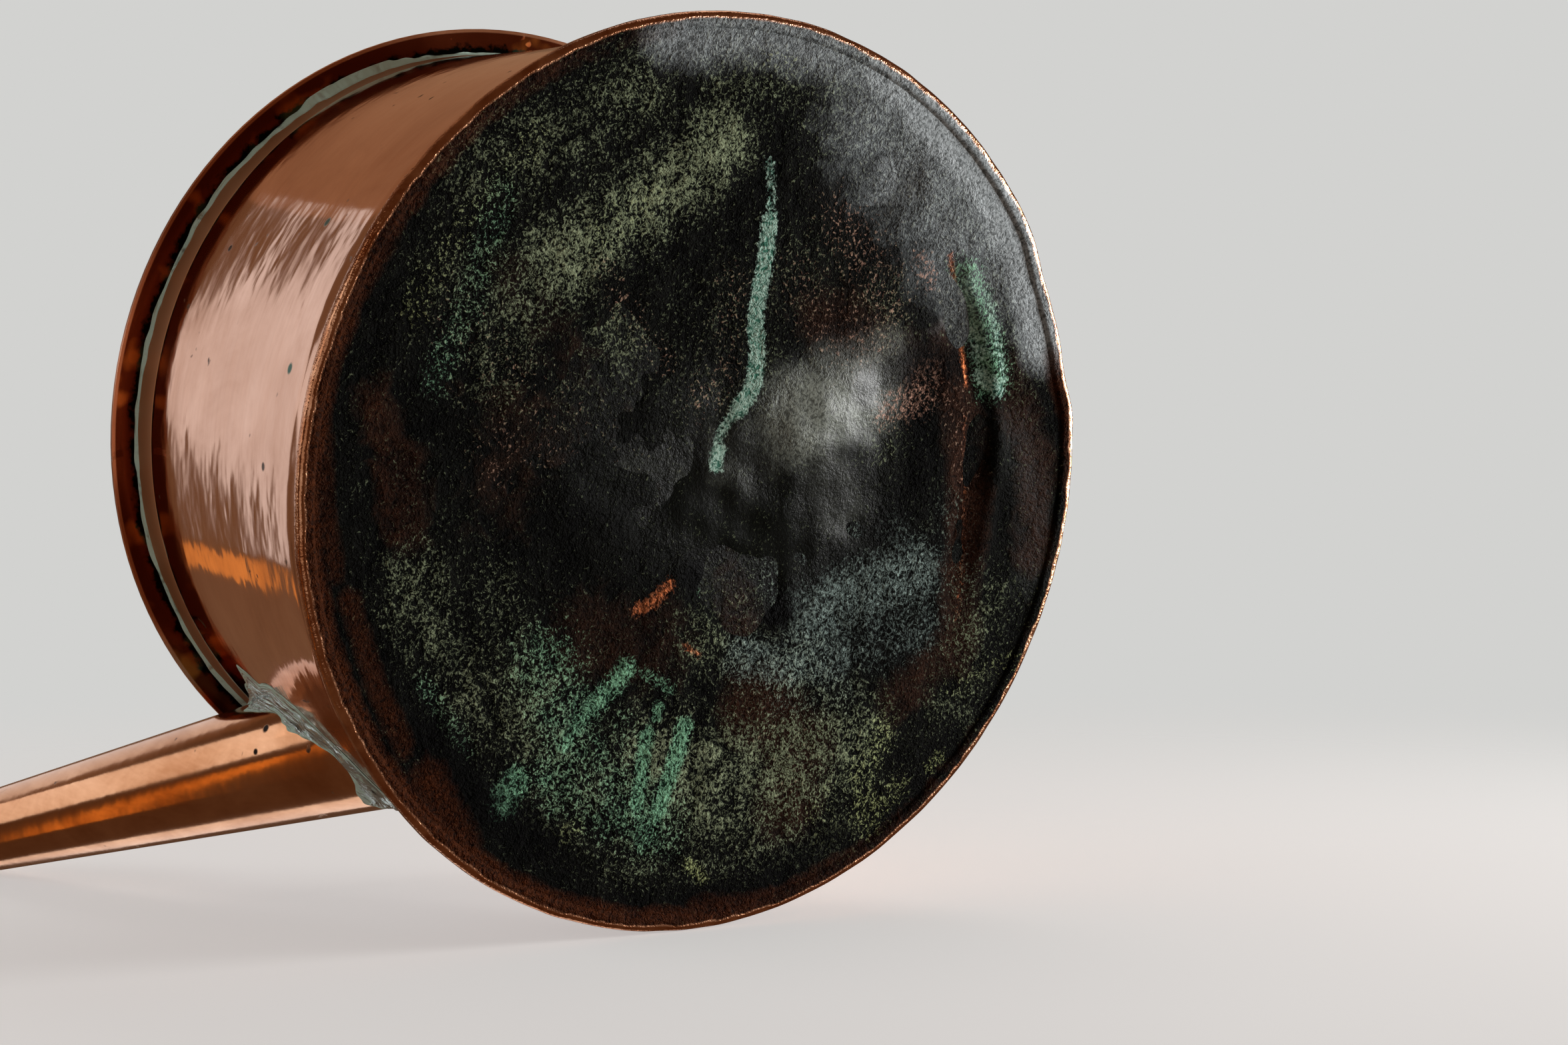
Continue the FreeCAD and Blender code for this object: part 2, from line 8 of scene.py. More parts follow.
import math
from functools import partial

import bpy
import numpy as np
from mathutils import Matrix, Vector


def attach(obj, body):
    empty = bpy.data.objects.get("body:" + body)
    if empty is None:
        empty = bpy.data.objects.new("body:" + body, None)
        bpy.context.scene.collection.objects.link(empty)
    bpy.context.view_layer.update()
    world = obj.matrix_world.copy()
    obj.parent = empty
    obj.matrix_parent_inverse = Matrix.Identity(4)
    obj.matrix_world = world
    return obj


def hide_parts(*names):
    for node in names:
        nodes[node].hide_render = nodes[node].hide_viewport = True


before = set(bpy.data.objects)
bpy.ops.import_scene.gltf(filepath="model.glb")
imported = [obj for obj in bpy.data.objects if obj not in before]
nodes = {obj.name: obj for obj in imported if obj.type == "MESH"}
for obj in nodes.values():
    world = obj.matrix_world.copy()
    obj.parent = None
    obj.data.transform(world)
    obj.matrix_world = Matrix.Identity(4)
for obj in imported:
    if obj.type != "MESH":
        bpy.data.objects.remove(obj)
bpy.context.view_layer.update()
MM = 0.001
print("frame loaded with", len(nodes), "nodes")

# %% [markdown]
# The kettle was laid on its side and photographed from below, so the camera looks up at the burnt
# base and along the drum. In the kettle's own upright frame that camera sits lower than the foot.
# Three directions at right angles place it fully: its right, its up and the way it looks.

# %% Camera
CAMERA_PLACE = Vector((-197.23, -356.0, -584.4)) * MM
CAMERA_RIGHT = Vector((0.58235, 0.57629, -0.57337))
CAMERA_UP = Vector((0.76372, -0.62952, 0.14297))
CAMERA_LENS = 68.85

bpy.ops.object.camera_add()
camera = bpy.context.object
camera.name = "photo_camera"
camera.data.sensor_width = 36
camera.data.sensor_fit = "HORIZONTAL"
camera.data.lens = CAMERA_LENS
camera.data.clip_start = 0.01
camera.data.clip_end = 50
backwards = CAMERA_RIGHT.cross(CAMERA_UP)
camera.matrix_world = Matrix.Translation(CAMERA_PLACE) @ Matrix(
    (CAMERA_RIGHT, CAMERA_UP, backwards)
).transposed().to_4x4()
bpy.context.scene.camera = camera
bpy.context.scene.view_settings.view_transform = "Standard"
print("camera looks along", [round(-part, 3) for part in backwards])

# %% [markdown]
# A finish is a small network of nodes. Writing each node out in full takes many lines, so one
# helper adds a node with its settings and its inputs. An input is a plain value, another node or one
# output of it. Colours are written as a designer picks them, in sRGB hex, and turned to the linear
# light that the renderer works in. Short helpers add the kinds used most: a colour laid over
# another, as paint or dirt lies over what is below it, a step of arithmetic, a ramp and a noise.


# %% Helpers for finishes
def linear(hex_colour):
    """An sRGB hex colour as linear red, green, blue and alpha."""
    parts = [int(hex_colour[i : i + 2], 16) / 255 for i in (1, 3, 5)]
    return [c / 12.92 if c <= 0.04045 else ((c + 0.055) / 1.055) ** 2.4 for c in parts] + [1.0]


def feed(finish, node, inputs):
    """Fills inputs with values, hex colours, outputs, or nodes for their first output."""
    for socket, given in inputs.items():
        if isinstance(given, bpy.types.Node):
            given = given.outputs[0]
        if isinstance(given, bpy.types.NodeSocket):
            finish.node_tree.links.new(given, node.inputs[socket])
        else:
            node.inputs[socket].default_value = linear(given) if isinstance(given, str) else given


def add_node(finish, kind, inputs=(), **settings):
    """Adds a node with its settings and inputs to a finish, and gives it back."""
    node = finish.node_tree.nodes.new("ShaderNode" + kind)
    for name, setting in settings.items():
        setattr(node, name, setting)
    feed(finish, node, dict(inputs))
    return node


# The sockets of a Mix node that is set to colour
FACTOR, COLOUR_A, COLOUR_B, COLOUR_OUT = 0, 6, 7, 2


def laid_over(finish, below, above, factor):
    """One colour laid over another by a factor."""
    inputs = {FACTOR: factor, COLOUR_A: below, COLOUR_B: above}
    return add_node(finish, "Mix", inputs, data_type="RGBA").outputs[COLOUR_OUT]


def maths(finish, kind, first, second, third=0.0, **settings):
    """One step of arithmetic."""
    return add_node(finish, "Math", {0: first, 1: second, 2: third}, operation=kind, **settings)


def ramp(finish, value, start, end, low=0.0, high=1.0, **settings):
    """A value carried from the run start to end over to the run low to high."""
    limits = {"Value": value, "From Min": start, "From Max": end, "To Min": low, "To Max": high}
    return add_node(finish, "MapRange", limits, **settings)


def add_noise(finish, place, size, detail, roughness=0.5, distortion=0.0):
    """A noise whose lumps are about this size."""
    look = {"Vector": place, "Scale": 1 / size, "Detail": detail, "Roughness": roughness}
    return add_node(finish, "TexNoise", look | {"Distortion": distortion})


def new_finish(name):
    """An empty material."""
    finish = bpy.data.materials.new(name)
    finish.use_nodes = True
    finish.node_tree.nodes.clear()
    return finish


def surfaced(finish, look):
    """Ends a finish in a surface with this look, and gives back the surface's node."""
    surface = add_node(finish, "BsdfPrincipled", look)
    add_node(finish, "OutputMaterial", {"Surface": surface})
    return surface


def dress(piece, finish):
    """The piece shows this finish and no other."""
    piece.data.materials.clear()
    piece.data.materials.append(finish)


print("orange copper in linear light:", [round(c, 3) for c in linear("#b87048")])

# %% [markdown]
# The studio has two pale floors, because the photograph shows the kettle lying while the part
# stands upright. One floor is level, under the foot. The other is the surface it lies on, which
# leans in the upright frame and touches the foot's seam and the spout's tip. Each is seen only from
# its upper side, and the leaning one fades out round the kettle into the pale backdrop.

# %% Floors and backdrop
FLOOR_TONE = "#dcdcda"
FLOOR_GLOW = 0.42
BACKDROP_TONE = "#d2d2d0"
STUDIO_TONE = "#5a4230"
LYING_NORMAL = Vector((-0.7569, 0.6416, -0.1239))
LYING_DISTANCE = 109.15 * MM
LYING_PATCH = 0.36


def pale_floor(name, fade_from, fade_to):
    """A pale surface for the camera alone, seen from above only, that fades with distance."""
    finish = new_finish(name)
    matt = add_node(finish, "BsdfDiffuse", {"Color": FLOOR_TONE})
    glow = add_node(finish, "Emission", {"Color": "#ffffff", "Strength": FLOOR_GLOW})
    pale = add_node(finish, "AddShader", {0: matt, 1: glow})
    place = add_node(finish, "TexCoord").outputs["Object"]
    away = add_node(finish, "VectorMath", {0: place}, operation="LENGTH").outputs["Value"]
    near = ramp(finish, away, fade_to, fade_from, interpolation_type="SMOOTHSTEP")
    below = add_node(finish, "NewGeometry").outputs["Backfacing"]
    camera_ray = add_node(finish, "LightPath").outputs["Is Camera Ray"]
    seen = maths(finish, "MULTIPLY", maths(finish, "SUBTRACT", 1.0, below), camera_ray)
    share = maths(finish, "MULTIPLY", seen, near)
    clear = add_node(finish, "BsdfTransparent")
    both = add_node(finish, "MixShader", {0: share, 1: clear, 2: pale})
    add_node(finish, "OutputMaterial", {"Surface": both})
    return finish


bpy.ops.object.select_all(action="DESELECT")
bpy.ops.mesh.primitive_plane_add(size=8)
standing_floor = bpy.context.object
standing_floor.name = "standing_floor"
dress(standing_floor, pale_floor("pale_floor", 0.6, 2.5))

bpy.ops.mesh.primitive_plane_add(size=3)
lying_floor = bpy.context.object
lying_floor.name = "lying_floor"
lying_floor.rotation_mode = "QUATERNION"
lying_floor.rotation_quaternion = (-LYING_NORMAL).to_track_quat("Z", "Y")
lying_floor.location = LYING_NORMAL * LYING_DISTANCE
dress(lying_floor, pale_floor("pale_lying_floor", 0.3 * LYING_PATCH, 2.2 * LYING_PATCH))

world = bpy.data.worlds.new("pale_studio")
world.use_nodes = True
world.node_tree.nodes.clear()
bpy.context.scene.world = world
camera_ray = add_node(world, "LightPath").outputs["Is Camera Ray"]
tone = laid_over(world, STUDIO_TONE, BACKDROP_TONE, camera_ray)
sky = add_node(world, "Background", {"Color": tone, "Strength": 1.0})
add_node(world, "OutputWorld", {"Surface": sky})
print("floors and backdrop are in place")

# %% [markdown]
# Polished copper shows its lamps more than its own colour. One big softbox above the kettle makes
# the tall pale patch on the drum, and another the lit band on the spout. Wide and weak warm ones
# tone the copper beside the patch, and two small amber ones give the orange lines on drum and spout.
# A strong small one, low on the far side, skims the base and shapes its knocks. A weak one near the
# camera opens the shadows, and three upright ones light the sides that the photograph doesn't show.

# %% Soft studio lamps
COOL = (0.88, 0.94, 1)
WARM = (1, 0.55, 0.3)
WARMER = (1, 0.52, 0.28)
AMBER = (1, 0.36, 0.04)


def softbox(name, place, target, size, radiance, along, tint=(1, 1, 1)):
    """A rectangular lamp at a place, facing a target, its first side turned towards along."""
    bpy.ops.object.light_add(type="AREA")
    lamp = bpy.context.object
    lamp.name = name
    lamp.data.shape = "RECTANGLE"
    lamp.data.size, lamp.data.size_y = size
    lamp.data.energy = radiance * 4 * size[0] * size[1]
    lamp.data.color = tint
    back = (Vector(place) - Vector(target)).normalized()
    side = (Vector(along) - back * back.dot(Vector(along))).normalized()
    turned = Matrix((side, back.cross(side), back)).transposed().to_4x4()
    lamp.matrix_world = Matrix.Translation(place) @ turned
    lamp.visible_camera = False


def ceiling_softbox(name, place, size, radiance, along, tint):
    """A softbox that faces straight down."""
    softbox(name, place, (*place[:2], 0), size, radiance, along, tint)


ceiling_softbox("drum_softbox", (-0.082, -0.148, 0.9), (0.453, 0.415), 0.56, (0.978, 0.21, 0), COOL)
ceiling_softbox("warm_softbox", (0.05, -0.05, 0.92), (1.0, 0.9), 0.06, (1, 0, 0), WARM)
ceiling_softbox("warm_side_softbox", (0.346, -0.108, 0.9), (0.465, 0.55), 0.1, (0.98, 0.2, 0), WARMER)
softbox("base_softbox", (0.62, 0.64, -0.36), (0, 0, 0), (0.36, 0.36), 22.0, (0, 0, 1))
softbox("camera_fill", (-0.5, -0.6, -0.5), (0, 0, 0.05), (0.8, 0.8), 0.35, (0, 0, 1))
softbox("spout_softbox", (-0.52, -0.62, 0.86), (-0.13, 0, 0.13), (0.56, 0.36), 0.8, (-0.95, -0.3, 0))
ceiling_softbox("amber_strip", (-0.375, 0.033, 0.9), (0.05, 0.052), 0.45, (1, 0, 0), AMBER)
softbox("amber_side", (-0.95, -0.31, 0.63), (-0.13, 0, 0.13), (0.5, 0.07), 0.6, (-0.3, 0.95, 0), AMBER)
softbox("front_softbox", (-0.5, -1.6, 0.7), (0, 0, 0.1), (0.7, 1.5), 0.8, (1, 0, 0))
softbox("side_softbox", (1.6, -0.3, 0.7), (0, 0, 0.1), (0.6, 1.5), 0.8, (0, 1, 0))
softbox("back_softbox", (-1.0, 1.3, 0.7), (0, 0, 0.1), (0.7, 1.5), 0.8, (1, 0, 0))

# %% [markdown]
# The drum, the base and the solder are turned forms. On the real kettle a sheet was spun or
# hammered round; here a half section is drawn point by point by extruding one vertex, and the spin
# operator carries it round the axis. The doubled points at the seam and at the poles are merged and
# the faces turned outwards, or the light would treat the surface as inside out.


# %% A helper that spins a half section
def spun(name, section, steps):
    """A closed turned mesh from (radius, height) points in millimetres."""
    places = [Vector((radius, 0, height)) * MM for radius, height in section]
    bpy.ops.object.select_all(action="DESELECT")
    bpy.ops.mesh.primitive_plane_add(size=MM)
    piece = bpy.context.object
    piece.name = name
    bpy.ops.object.mode_set(mode="EDIT")
    bpy.ops.mesh.merge(type="CENTER")
    bpy.ops.transform.translate(value=places[0])
    for here, there in zip(places, places[1:]):
        bpy.ops.mesh.extrude_region_move(TRANSFORM_OT_translate={"value": there - here})
    bpy.ops.mesh.select_all(action="SELECT")
    bpy.ops.mesh.spin(steps=steps, angle=2 * math.pi, center=(0, 0, 0), axis=(0, 0, 1))
    bpy.ops.mesh.select_all(action="SELECT")
    bpy.ops.mesh.remove_doubles(threshold=0.01 * MM)
    bpy.ops.mesh.normals_make_consistent(inside=False)
    bpy.ops.object.mode_set(mode="OBJECT")
    return piece


def points_of(piece):
    """The piece's vertices in millimetres, one row each."""
    flat = np.empty(len(piece.data.vertices) * 3)
    piece.data.vertices.foreach_get("co", flat)
    return flat.reshape(-1, 3) / MM


def set_points(piece, points):
    """Moves the piece's vertices to these rows, in millimetres."""
    piece.data.vertices.foreach_set("co", (points * MM).ravel())
    piece.data.update()


def arc(start, end, radius, count):
    """Points from start to end on an arc that bulges to the left of the run, the start left out."""
    start, end = np.array(start, float), np.array(end, float)
    chord = end - start
    half = np.linalg.norm(chord) / 2
    left = np.array([-chord[1], chord[0]]) / (2 * half)
    centre = (start + end) / 2 - left * math.copysign(math.sqrt(radius**2 - half**2), radius)
    turn = 2 * math.asin(half / abs(radius)) * -math.copysign(1, radius)
    shares = np.linspace(0, 1, count + 1)[1:]
    x, y = start - centre
    turns = [(math.cos(a), math.sin(a)) for a in shares * turn]
    return [tuple(centre + [x * cos - y * sin, x * sin + y * cos]) for cos, sin in turns]


# %% [markdown]
# The base sheet has its edge folded up and over the drum's flange, which makes the lumpy bead round
# the foot. The worn copy is turned from the frame's own sizes, with fine rings, so that it can take
# the knocks that come next.

# %% The burnt base as a turned sheet
SHEET = 1.2
SEAM_RADIUS = 110.0
SEAM_LAP = 2.6
BASE_RISE = 3.0
SEAM_STEP = 0.8
FOOT_INSET = 4.2
BASE_EDGE = SEAM_RADIUS - FOOT_INSET
BASE_SAG = BASE_RISE - SEAM_STEP
BASE_CURVE = (BASE_EDGE**2 + BASE_SAG**2) / (2 * BASE_SAG)
UNDERSIDE_RINGS = 100
BASE_STEPS = 512

base_section = [(0, BASE_RISE)]
base_section += arc((0, BASE_RISE), (BASE_EDGE, SEAM_STEP), BASE_CURVE, UNDERSIDE_RINGS)
base_section += [(BASE_EDGE + 0.35, 0.45), (SEAM_RADIUS - 3.4, 0.12), (SEAM_RADIUS - 3.0, 0)]
base_section += [(SEAM_RADIUS - 2.2, 0), (SEAM_RADIUS - SHEET, 0)]
base_section += arc((SEAM_RADIUS - SHEET, 0), (SEAM_RADIUS, SHEET), -SHEET, 5)
base_section += [(SEAM_RADIUS, 1.5 * SHEET), (SEAM_RADIUS, 2 * SHEET)]
base_section += arc((SEAM_RADIUS, 2 * SHEET), (SEAM_RADIUS - SHEET, 3 * SHEET), -SHEET, 5)
base_section += [(SEAM_RADIUS - SEAM_LAP, 3 * SHEET), (SEAM_RADIUS - SEAM_LAP, 2 * SHEET)]
base_section += [(SEAM_RADIUS - SHEET, 2 * SHEET), (SEAM_RADIUS - SHEET, SHEET), (SEAM_RADIUS - 3.8, SHEET)]
base_section += [(100, BASE_RISE + SHEET - 100**2 / (2 * BASE_CURVE))]
base_section += [(60, BASE_RISE + SHEET - 60**2 / (2 * BASE_CURVE)), (0, BASE_RISE + SHEET)]
burnt_base = spun("burnt_base", base_section, BASE_STEPS)
print("burnt base:", len(burnt_base.data.vertices), "vertices")

# %% [markdown]
# Years of use knocked the base: a soft bulge and a pit near the middle, a long ridge near the far
# rim, and a flat where the rim was struck. Each knock is a soft bump added to the sheet's height.
# The ridge follows a ring, and slow waves make the rest of the sheet and its bead uneven.


# %% Knocks, ridge and rim of the base
def smooth_step(low, high, value):
    """Nought below low, one above high, and a smooth rise between."""
    share = np.clip((value - low) / (high - low), 0, 1)
    return share * share * (3 - 2 * share)


def waves(points, length, seed, directions=14):
    """A soft uneven field of about unit height: plane waves of about this length added up."""
    dice = np.random.default_rng(seed)
    field = np.zeros(len(points))
    for _ in range(directions):
        way = dice.normal(size=3)
        way *= 2 * math.pi / (length * dice.uniform(0.7, 1.5) * np.linalg.norm(way))
        field += np.sin(points @ way + dice.uniform(0, 2 * math.pi))
    return field / math.sqrt(directions / 2)


def rim_flat(points):
    """How far the struck rim lies inside the true circle, in millimetres."""
    bearing = np.degrees(np.arctan2(points[:, 1], points[:, 0]))
    flat = smooth_step(14, 22, bearing) * smooth_step(42, 34, bearing)
    return 1.7 * flat


# Each knock is its middle, its reach and its height; up is into the kettle
BASE_KNOCKS = [
    ((30, 12), 20, -2.2),
    ((-14, 27), 11, 2.6),
    ((-2, -14), 34, 1.6),
    ((22, 38), 15, 1.6),
    ((56, 22), 14, 1.4),
    ((14, -46), 24, 1.2),
    ((-44, -36), 28, 1.0),
    ((78, -18), 17, 0.8),
    ((-62, 22), 22, 0.6),
    ((6, 72), 20, -0.8),
]
RIDGE_RADIUS = 86.5
RIDGE_FROM, RIDGE_TO = 4, 78


def knock_base(points):
    """The base's points with its knocks, ridge, uneven bead and struck rim."""
    radius = np.hypot(points[:, 0], points[:, 1])
    bearing = np.degrees(np.arctan2(points[:, 1], points[:, 0]))
    inside = smooth_step(BASE_EDGE - 1, BASE_EDGE - 16, radius)
    lift = np.zeros(len(points))
    for (x, y), reach, height in BASE_KNOCKS:
        lift += height * np.exp(-((points[:, 0] - x) ** 2 + (points[:, 1] - y) ** 2) / reach**2)
    along = smooth_step(RIDGE_FROM, RIDGE_FROM + 14, bearing) * smooth_step(RIDGE_TO, RIDGE_TO - 16, bearing)
    crest = RIDGE_RADIUS + 1.6 * np.sin(np.radians(bearing * 5)) + 0.8 * np.sin(np.radians(bearing * 11))
    lift -= 0.9 * along * np.exp(-(((radius - crest) / 2.2) ** 2))
    lift += 1.5 * along * np.exp(-(((radius - crest + 6.5) / 4.6) ** 2))
    lift += 0.32 * waves(points, 26, 3) + 0.14 * waves(points, 9, 4)
    bead = smooth_step(BASE_EDGE - 1, BASE_EDGE + 2, radius)
    moved = points.copy()
    moved[:, 2] += inside * lift
    swell = 0.12 * waves(points, 14, 5) + 0.05 * waves(points, 6, 6)
    inward = bead * (np.maximum(swell, -0.2) * 0.5 + 0.1) + smooth_step(70, 108, radius) * rim_flat(points)
    moved[:, :2] *= (1 - inward / np.maximum(radius, 1))[:, None]
    moved[:, 2] += bead * smooth_step(1.0, 0.0, points[:, 2]) * np.maximum(0.12 * waves(points, 9, 7), 0)
    return moved


base_points = points_of(burnt_base)
set_points(burnt_base, knock_base(base_points))
worn_points = points_of(burnt_base)
print("base stands from", worn_points[:, 2].min().round(2), "to", worn_points[:, 2].max().round(2), "mm")

# %% [markdown]
# Soot, verdigris and bare metal don't fall evenly: each patch has its place. Painting is done as
# with a brush, along strokes given by a few points, a half width and a strength, in millimetres on
# the base. The strokes fill named attributes of the mesh, and the finish breaks their edges up with
# noise, so that no stroke shows as one.

# %% Brush strokes on the base
# Each stroke is its points, half width and strength
BRUSHES = {}
# The green run of dried water
BRUSHES["water_run"] = [
    ([(64, -42), (59, -36), (54, -32)], 1.6, 0.5),
    ([(54, -32), (45, -25), (36, -19), (30, -12), (23, -7), (17, -6)], 2.5, 1.0),
    ([(17, -6), (12, -6), (8, -5)], 1.6, 0.62),
    ([(6, -3), (3, -1)], 2.2, 0.9),
    ([(83, 23), (78, 31), (75, 39)], 3.6, 0.5),
    ([(87, 30), (79, 42), (75, 49)], 2.2, 0.5),
    ([(71, 43), (72, 51)], 2.4, 0.7),
]
# Fuzzy green verdigris on the side of the spout
BRUSHES["verdigris"] = [
    ([(-48, 13), (-54, 13), (-61, 12)], 3.4, 0.72),
    ([(-61, 12), (-72, 12)], 3.2, 0.62),
    ([(-56, 29), (-62, 33), (-70, 38)], 2.8, 0.75),
    ([(-48, 36), (-57, 40), (-68, 44)], 3.0, 0.85),
    ([(-49, 27), (-51, 28)], 2.2, 0.65),
    ([(-70, 38), (-76, 46), (-68, 44)], 3.6, 0.5),
    ([(-86, 8), (-91, 8)], 5.4, 0.6),
    ([(-79, 11), (-84, 20)], 5.0, 0.4),
    ([(-46, 18), (-44, 26)], 2.4, 0.45),
    ([(-58, 22), (-66, 26)], 6.0, 0.3),
    ([(-31, -73), (-17, -78), (9, -90)], 7.0, 0.3),
    ([(-84, -28), (-88, -9)], 4.0, 0.3),
    ([(84, 22), (79, 35), (73, 47)], 7.5, 0.6),
    ([(-62, -5), (-74, 20), (-70, 45)], 14, 0.38),
]
# Yellow-green moss of salts near the rim
BRUSHES["salts"] = [
    ([(-14, 84), (-25, 86), (-32, 96)], 7.0, 0.5),
    ([(-7, 103), (-11, 102)], 3.6, 0.5),
    ([(-37, 92), (-43, 88)], 5.0, 0.4),
    ([(-20, 98), (-31, 96)], 4.6, 0.5),
    ([(-34, 81), (-42, 82)], 4.8, 0.35),
    ([(8, 93), (27, 104)], 5.0, 0.35),
    ([(81, -60), (85, -51)], 4.0, 0.35),
    ([(-25, -88), (-2, -92), (23, -92)], 6.0, 0.35),
    ([(36, -60), (20, -64)], 7.0, 0.35),
    ([(-84, 28), (-88, 26)], 3.6, 0.5),
    ([(-72, 60), (-72, 66)], 2.4, 0.7),
]
# Grey-green ash crust
BRUSHES["ash"] = [
    ([(-70, -45), (-74, -31), (-79, -12)], 12, 0.5),
    ([(-58, -28), (-64, -6)], 10, 0.4),
    ([(-69, -2), (-77, 21)], 16, 0.65),
    ([(-63, 33), (-50, 58), (-25, 75)], 19, 0.75),
    ([(9, -98), (30, -87), (50, -81)], 14, 0.5),
    ([(58, -56), (36, -60), (8, -68)], 12, 0.95),
    ([(90, -42), (99, -8), (99, 16)], 20, 0.4),
    ([(91, 30), (81, 54)], 9, 0.45),
    ([(70, -66), (97, -35)], 14, 0.45),
    ([(-11, -83), (-17, -67)], 16, 0.5),
    ([(-27, 29), (-17, 52)], 14, 0.5),
    ([(30, 85), (7, 97)], 12, 0.45),
    ([(-81, 43), (-62, 70), (-39, 90)], 9, 0.5),
    ([(22, -67), (-6, -68)], 9, 0.6),
    ([(52, -20), (20, -30), (28, 6)], 16, 0.22),
    ([(64, 7), (40, 31)], 9, 0.35),
]
# Pale blue-grey scale beside the pit
BRUSHES["scale"] = [
    ([(-7, 46), (8, 54), (22, 63)], 10.5, 0.82),
    ([(-25, 38), (-19, 49), (-9, 59)], 8.0, 0.75),
    ([(1, 64), (13, 72)], 12, 0.5),
    ([(25, 51), (21, 62)], 7.0, 0.5),
    ([(-24, 54), (-14, 67)], 9.5, 0.4),
    ([(40, 60), (30, 76)], 9.0, 0.3),
]
# Reddish brown oxide
BRUSHES["oxide"] = [
    ([(-32, 48), (-31, 67), (-43, 73)], 12, 0.7),
    ([(-50, -1), (-40, 15)], 14, 0.42),
    ([(-46, -82), (-52, -66), (-62, -55)], 7.0, 0.5),
    ([(-2, -73), (-5, -53), (-8, -38)], 10, 0.3),
    ([(70, 30), (60, 46), (44, 64), (15, 88)], 8.0, 0.62),
    ([(-5, 81), (9, 85)], 8.0, 0.5),
    ([(-24, -52), (-41, -39)], 14, 0.3),
    ([(78, 50), (66, 72), (50, 88)], 8.0, 0.5),
    ([(48, -4), (56, 22)], 11, 0.45),
]
# Small flecks where copper shows through the crust
BRUSHES["flecks"] = [
    ([(15, -58), (12, -46), (11, -30)], 5.0, 0.24),
    ([(69, -15), (64, 7), (54, 9)], 11, 0.3),
    ([(50, -15), (47, 5)], 10, 0.24),
    ([(46, 28), (54, 33), (60, 31)], 6.5, 0.52),
    ([(-18, -77), (-24, -47)], 12, 0.16),
    ([(78, 8), (77, 15)], 4.0, 0.45),
    ([(12, -15), (21, -14)], 7.0, 0.22),
    ([(64, 35), (51, 57)], 6.0, 0.25),
    ([(-17, -58), (-37, -48)], 8.0, 0.2),
    ([(-29, 50), (-35, 70)], 12, 0.14),
    ([(36, -28), (26, -20)], 8.0, 0.22),
]
# Scrapes down to bare copper
BRUSHES["scrapes"] = [
    ([(-26, 9), (-32, 8), (-36, 6)], 2.2, 0.55),
    ([(85, 14), (80, 23), (72, 34), (66, 42)], 1.1, 0.6),
    ([(60, 47), (47, 61), (34, 73), (22, 82)], 1.0, 0.3),
    ([(-34, 22), (-33, 27)], 1.0, 0.5),
]
# Bare brown band inside the bead
BRUSHES["bare_band"] = [
    ([(-100, -12), (-106, 6)], 5.6, 0.95),
    ([(-109, 12), (-103, 31)], 4.4, 0.85),
    ([(-80, 71), (-68, 86)], 5.6, 0.85),
    ([(-82, -56), (-92, -37), (-98, -22)], 3.2, 0.8),
    ([(-105, 32), (-97, 50), (-83, 74)], 3.4, 0.75),
    ([(-60, -86), (-71, -75), (-80, -63)], 2.8, 0.7),
    ([(-48, -80), (-55, -70), (-65, -58)], 4.0, 0.4),
    ([(90, 57), (87, 62), (80, 74), (66, 90), (54, 98)], 3.4, 0.95),
    ([(-64, 94), (-44, 100)], 3.0, 0.6),
    ([(30, -105), (0, -108), (-35, -100)], 2.4, 0.55),
]
# Smooth blue-grey film on the far side, its pale tone near the rim a painted sheen
BRUSHES["rim_film_and_sheen"] = [
    ([(100, -35), (104, -17)], 8.0, 0.8),
    ([(104, -17), (106, 6), (102, 24)], 10, 1.0),
    ([(102, 24), (95, 42), (90, 53)], 8.0, 0.85),
    ([(65, -83), (85, -64), (99, -38)], 9.0, 0.6),
    ([(96, -25), (96, 1), (92, 21)], 22, 0.5),
]
# Smooth grey-green film on the side of the bulge, painted pale there as a sheen where light falls
BRUSHES["bulge_film_and_sheen"] = [
    ([(26, 8), (36, 14), (44, 19)], 12, 0.95),
    ([(41, 8), (54, 18)], 9.0, 0.5),
    ([(7, 1), (18, 6)], 12, 0.3),
    ([(23, 23), (19, 33)], 10, 0.35),
]
# Deep soot that lets nothing else through, and painted shade in the pit and in the groove beside the bulge
BRUSHES["soot"] = [
    ([(-19, 15), (-14, 27), (-11, 37)], 8.0, 1.0),
    ([(44, 18), (60, 26), (68, 36)], 7.0, 0.7),
    ([(24, 48), (40, 46), (50, 38)], 6.0, 0.6),
    ([(-92, -20), (-96, 0), (-92, 24)], 7.0, 0.8),
    ([(-80, 66), (-60, 82), (-40, 92)], 6.0, 0.7),
]
# Smooth places without crust
BRUSHES["smooth"] = [
    ([(7, -11), (16, 14), (20, 36)], 15, 0.9),
    ([(-6, 0), (2, 28)], 18, 1.0),
    ([(32, 8), (31, 27)], 13, 1.0),
    ([(68, 61), (58, 81), (45, 92)], 7.0, 0.7),
    ([(-19, -27), (-18, -1)], 12, 0.5),
]


def brushed(places, strokes):
    """How strongly the strokes cover each place, from nought to one."""
    cover = np.zeros(len(places))
    for points, half_width, strength in strokes:
        for start, end in zip(points, points[1:]):
            start, run = np.array(start, float), np.array(end, float) - np.array(start, float)
            share = np.clip(((places - start) @ run) / (run @ run), 0, 1)
            gap = np.linalg.norm(places - start - share[:, None] * run, axis=1)
            cover = np.maximum(cover, strength * smooth_step(1.5 * half_width, 0.2 * half_width, gap))
    return cover


def paint(piece, name, amounts):
    """Stores an amount for each vertex as a named attribute of the piece."""
    attribute = piece.data.attributes.new(name, "FLOAT", "POINT")
    attribute.data.foreach_set("value", np.asarray(amounts, np.float32))


flat_places = base_points[:, :2]
for name, strokes in BRUSHES.items():
    paint(burnt_base, name, brushed(flat_places, strokes))
print(len(BRUSHES), "brushes used on", len(flat_places), "places")

